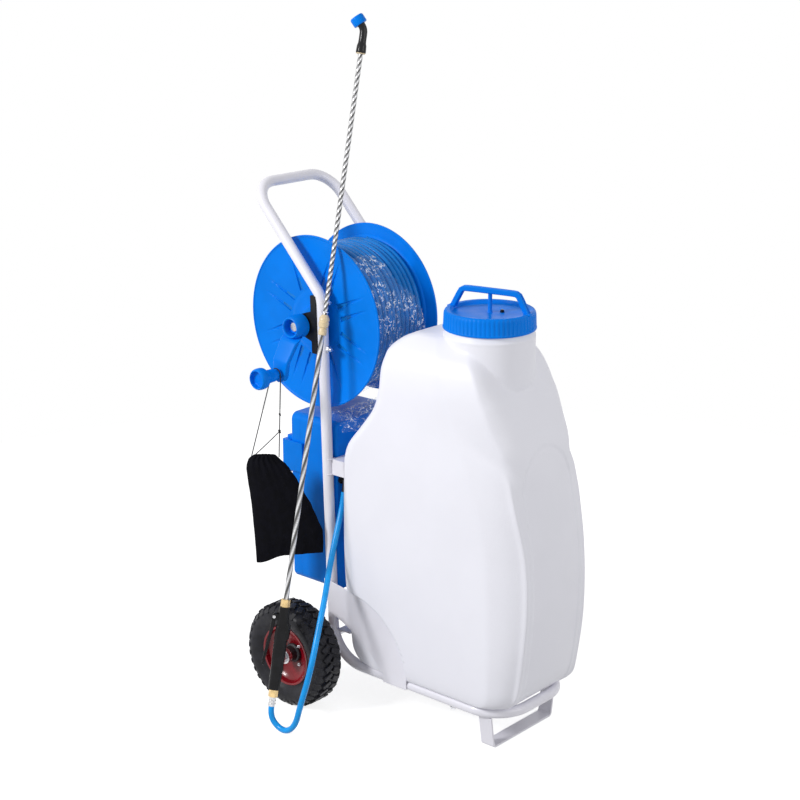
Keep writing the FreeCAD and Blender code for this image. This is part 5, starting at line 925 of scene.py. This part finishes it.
for a, b in zip(grip, grip[1:] + grip[-1:]):
    for i in range(perStretch if a is not b else 1):
        along, back, front = (a[k] + (b[k] - a[k]) * (i / perStretch) for k in range(3))
        half = gun["half"] - (gun["slimmer"] if along > gun["slimFrom"] else 0)
        mid, deep = (back + front) / 2, (front - back) / 2
        ridged = gun["ridges"][0] < along < gun["ridges"][1]
        swell = 1 + (gun["ridge"] * math.cos(along * gun["pitch"]) if ridged else 0) / deep
        rows.append([onLance(along / 1000) + leverWay * (mid + x * swell) / 1000 + acrossWay * y / 1000
                     for x, y in rounded(deep, half, min(deep, half) * 0.62, 7)])
bm = ringed(rows)
for end in (-1, 1):
    ear = onLance(gun["pinAt"]) + leverWay * 0.0175 + acrossWay * end * 0.0093
    blockAt(bm, axes(ear, leverWay, acrossWay), (0.0165, 0.0145, 0.0026), 1, 0.0016, 2)
addPiece("gunBody", bm, "frame", gripPlastic, ["gun_body"], 42)
rows = []
for i, ((x, s, deep), way) in enumerate(zip(gun["lever"], headings(gun["lever"], leverWay, lanceWay))):
    face = way.cross(acrossWay)
    half = gun["leverHalf"] - gun["leverWaist"] * math.sin(math.pi * i / (len(gun["lever"]) - 1))
    rows.append([onLance(s / 1000) + leverWay * x / 1000 + acrossWay * a / 1000 + face * b / 1000
                 for a, b in rounded(half, deep, 1.6, 4)])
addPiece("gunLever", ringed(rows), "trigger", gripPlastic, ["gun_trigger"], 50, None, 1)
bm = bmesh.new()
for end in (-1, 1):
    pinHead = onLance(gun["pinAt"]) + leverWay * 0.021 + acrossWay * end * 0.011
    bmesh.ops.create_cone(bm, cap_ends=True, segments=20, radius1=0.0036, radius2=0.0036, depth=0.0014,
                          matrix=axes(pinHead, lanceWay, acrossWay))
addPiece("gunPin", bm, "frame", machinedSteel, (), 30, 0.0003)
ferrule = [(-211, 5.2), (-211, 8.2), (-213, 8.5), (-215, 7.7), (-217.5, 7.7), (-219, 8.5), (-221, 8.5),
           (-222.5, 7.7), (-225, 7.7), (-226.5, 8.5), (-231, 8.5), (-233, 7.9), (-233, 5.2)]
addPiece("hoseFerrule", spun(inMetres(ferrule), lanceLow, lanceWay, 40), "frame", machinedSteel,
         ["hose_ferrule"], 30)
print("cart: spray gun")

# bag: a gathered pouch of thin black cloth; each row is a height and the left and right edge across the bag
bag = {"rows": [(599, -241, -190), (593, -250, -184), (588, -254, -179), (576, -258, -166), (566, -259, -158),
                (535, -256, -139), (505, -252, -124), (476, -249, -108), (440, -246.5, -94), (411, -244, -82),
                (380, -242, -81), (356, -241, -82)],
       "thick": [(599, 12), (593, 13), (576, 24), (540, 34), (470, 37), (400, 30), (356, 14)],
       "columns": 60, "steps": 110, "pleats": 6.5}


def between(rows, height, k):
    for a, b in zip(rows, rows[1:]):
        if a[0] >= height >= b[0]:
            t = (a[0] - height) / (a[0] - b[0])
            t = t * t * (3 - 2 * t) * 0.3 + t * 0.7
            return a[k] + (b[k] - a[k]) * t
    return rows[-1][k]


rows = []
columns, top, foot = bag["columns"], bag["rows"][0][0], bag["rows"][-1][0]
for j in range(bag["steps"] + 1):
    t = j / bag["steps"]
    row = []
    height = top - (top - foot) * t
    left, right = between(bag["rows"], height, 1), between(bag["rows"], height, 2)
    thick = between(bag["thick"], height, 1)
    for i in range(2 * columns):
        front = i < columns
        s = (i + 0.5) / columns if front else 2 - (i + 0.5) / columns
        across = left + (right - left) * s
        sag = step(t, 0.55, 1.0) * (-22 * (1 - step(s, 0.02, 0.42)) - 3 * math.sin(s * 5) - 1)
        belly = math.sqrt(max(0, 1 - (2 * s - 1) ** 2)) * thick / 2
        pleat = (0.35 + 0.65 * step(t, 0, 0.03)) * math.exp(-t * 7) * 2.4
        pleat *= math.cos(s * 2 * math.pi * bag["pleats"] + (0.6 if front else 2.2))
        fold = 2.6 * noise.noise(Vector((s * 5.5 - t * 0.8, t * 2.2, 2.0 if front else 7.0)))
        fold += 1.3 * noise.noise(Vector((s * 11 + t, t * 5, 4.0 if front else 9.0)))
        depth = belly + (pleat + fold * (0.25 + t)) * math.sin(math.pi * s) ** 0.5
        row.append(onBag(across, -depth if front else depth, height + sag))
    rows.append(row)
bm = ringed(rows, ends=False)
bm.faces.new(list(bm.verts)[-2 * columns:])
bagPiece = addPiece("sprayBag", bm, "bag", bagCloth, ["bag"], 70)
cloth = bagPiece.modifiers.new("cloth", "SOLIDIFY")
cloth.thickness, cloth.offset = 0.0006, -1
bm = bmesh.new()
strand = [cordPoints[-2], cordPoints[-1]]
for height, size in ((697, 0.0026), (656, 0.0033)):
    t = (height / 1000 - strand[0].z) / (strand[1].z - strand[0].z)
    centre = strand[0].lerp(strand[1], t)
    for i in range(5):
        turn = 2.4 * i
        spot = centre + (bagAcross * math.cos(turn) + bagThrough * math.sin(turn)) * size * 0.5
        spot += zAxis * size * 0.7 * (i - 2) / 2
        bmesh.ops.create_icosphere(bm, subdivisions=2, radius=size * 0.62, matrix=Matrix.Translation(spot))
addPiece("cordKnots", bm, "bag", cordBraid, (), 60)
tail = [centre, centre.lerp(onBag(-240, 0, 596), 0.5) - zAxis * 0.0015, onBag(-240, 0, 596)]
tailPiece = dress(cordCurve("cordTail", tail, 0.0022, 8), "bag", cordBraid)
(tail[0] - tail[-1]).length * 1.002
print("cart: bag")

# filler cap: ribbed skirt, dished top, grooved bail on a post, breather
fillerAt = atAxle(0, tank["filler"], 0)
skirt = [(936, 99.6), (936, 102.4), (937, 103), (939.5, 103), (941, 102.2), (966, 101.2), (971, 100.6),
         (975, 98.6), (977, 95.5), (977, 87.5), (976, 85.6), (972, 83.8), (970.4, 82.6), (970, 80),
         (970, 40), (970, 0.02), (966.5, 0.02), (966.5, 99.4), (965, 99.6)]
grips = lambda angle: -0.0013 * (0.5 + 0.5 * math.cos(64 * angle)) ** 2
rows = [ringAt(fillerAt + zAxis * height / 1000, xAxis, yAxis, radius / 1000, 384,
               grips if 940 < height < 972 and radius > 99.8 else None) for height, radius in skirt]
addPiece("capSkirt", ringed(rows, loop=True), "cap", bluePlastic, ["tank_cap"], 32)
bailWay = Vector((0.2079, -0.9781, 0))
bailSide = zAxis.cross(bailWay)
bailHalf = [(7.4, 4.2), (5.2, 6.2), (2.6, 6.2), (1.6, 3.6), (-1.6, 3.6), (-2.6, 6.2), (-5.2, 6.2),
            (-7.4, 4.2)]
bailBar = bailHalf + [(a, -b) for a, b in reversed(bailHalf)]
bailRise = [(-93, 969), (-86.5, 981), (-77, 999), (-73.5, 1005.5), (-69, 1013), (-63, 1016.6), (-55, 1017.2),
            (-30, 1017.4)]
bailLine = bailRise + [(-a, height) for a, height in reversed(bailRise)]
rows = []
for (reachOut, height), way in zip(bailLine, headings(bailLine, bailWay, zAxis)):
    face = bailSide.cross(way)
    middle = fillerAt + bailWay * reachOut / 1000 + zAxis * height / 1000
    rows.append([middle + bailSide * a / 1000 + face * b / 1000 for a, b in bailBar])
post = [(0.9695, 0), (0.9695, 0.0066), (0.974, 0.0046), (1.0125, 0.0046), (1.0125, 0)]
bm = spun(post, fillerAt, zAxis, 32, False, ringed(rows))
for reachOut in (-92, 92):
    foot = fillerAt + bailWay * reachOut / 1000 + zAxis * 0.9745
    blockAt(bm, axes(foot, bailWay, zAxis), (0.017, 0.022, 0.006), 1, 0.002, 2)
addPiece("capBail", bm, "cap", bluePlastic, (), 40, 0.0005)
breather = [(0.970, 0), (0.970, 0.0045), (0.9745, 0.0044), (0.9762, 0.003), (0.9765, 0)]
addPiece("capBreather", spun(breather, atAxle(15, -411, 0), zAxis, 24, False), "cap", glossBlack,
         ["cap_breather"], 30)
print("cart: filler cap")

# weld beads where the frame's tubes and plates meet
bm = bmesh.new()


def weldBead(points, radius=0.002):
    line, rows = [atAxle(*p) for p in points], []
    total = sum((b - a).length for a, b in zip(line, line[1:]))
    count = max(4, round(total / 0.0016))
    for j in range(count + 1):
        want, k = total * j / count, 0
        while k < len(line) - 2 and want > (line[k + 1] - line[k]).length:
            want -= (line[k + 1] - line[k]).length
            k += 1
        way = (line[k + 1] - line[k]).normalized()
        side = way.cross(zAxis if abs(way.z) < 0.9 else xAxis).normalized()
        size = radius * (0.82 + 0.18 * math.cos(j * 2.1)) * (0.45 if j in (0, count) else 1)
        rows.append(ringAt(line[k] + way * want, side, way.cross(side), size, 10))
    ringed(rows, bm=bm)


for side in (-1, 1):
    for height in (549, 585):
        weldBead([(side * 113.5, -26, height), (side * 126, -31.5, height), (side * 137.5, -26, height)])
    weldBead([(side * 137.6, -205, 80.5), (side * 137.6, -268, 80.5)])
    weldBead([(side * 137.8, -16 + 0.0323 * (z - 210), z) for z in (212, 250, 289)])
addPiece("weldBeads", bm, "frame", framePaint, (), 60)
print("cart: welds")

# floor and light
light = {"world": 0.5, "key": 142, "fill": 50, "floor": 0.5, "glow": 0.8, "aim": (0, 0.2, 0.6)}


def seenDirectly(tree):
    # 1 for rays from the camera, and for those that metal and clear pieces pass on
    camera, glossy, passed = (tree.node("ShaderNodeLightPath", {}, {}, "Is " + kind + " Ray")
                              for kind in ("Camera", "Glossy", "Transmission"))
    return camera.maths("MAXIMUM", glossy).maths("MAXIMUM", passed)


floorFinish = Finish("floor", Roughness=1.0, Specular_IOR_Level=0.0, Emission_Strength=1.0)
floorFinish.colour((light["floor"],) * 3)
floorFinish.feed(floorFinish.shader.inputs["Emission Color"], floorFinish.blend(
    seenDirectly(floorFinish), (0, 0, 0), (light["glow"],) * 3))
floorMesh = bmesh.new()
bmesh.ops.create_circle(floorMesh, cap_ends=True, segments=96, radius=2.4)
floorData = bpy.data.meshes.new("floor")
floorMesh.to_mesh(floorData)
floorMesh.free()
floorObject = bpy.data.objects.new("floor", floorData)
floorObject.location = (0, 0.3, 0)
floorObject.data.materials.append(floorFinish.material)
scene.collection.objects.link(floorObject)

world = bpy.data.worlds.new("studio")
scene.world = world
world.use_nodes = True
sky = NodeTree(world.node_tree)
background = sky.tree.nodes["Background"]
background.inputs["Color"].default_value = (1, 1, 1, 1)
sky.feed(background.inputs["Strength"], seenDirectly(sky) * (1 - light["world"]) + light["world"])
for name, place, power, size in (
        ("key", (-3.8, 1.9, 2.9), light["key"], 1.0), ("fill", (0.4, -4.2, 2.4), light["fill"], 2.5)):
    lamp = bpy.data.lights.new(name, "AREA")
    lamp.energy, lamp.size = power, size
    lampObject = bpy.data.objects.new(name, lamp)
    lampObject.location = place
    lampObject.rotation_euler = (Vector(place) - Vector(light["aim"])).to_track_quat("Z", "Y").to_euler()
    scene.collection.objects.link(lampObject)
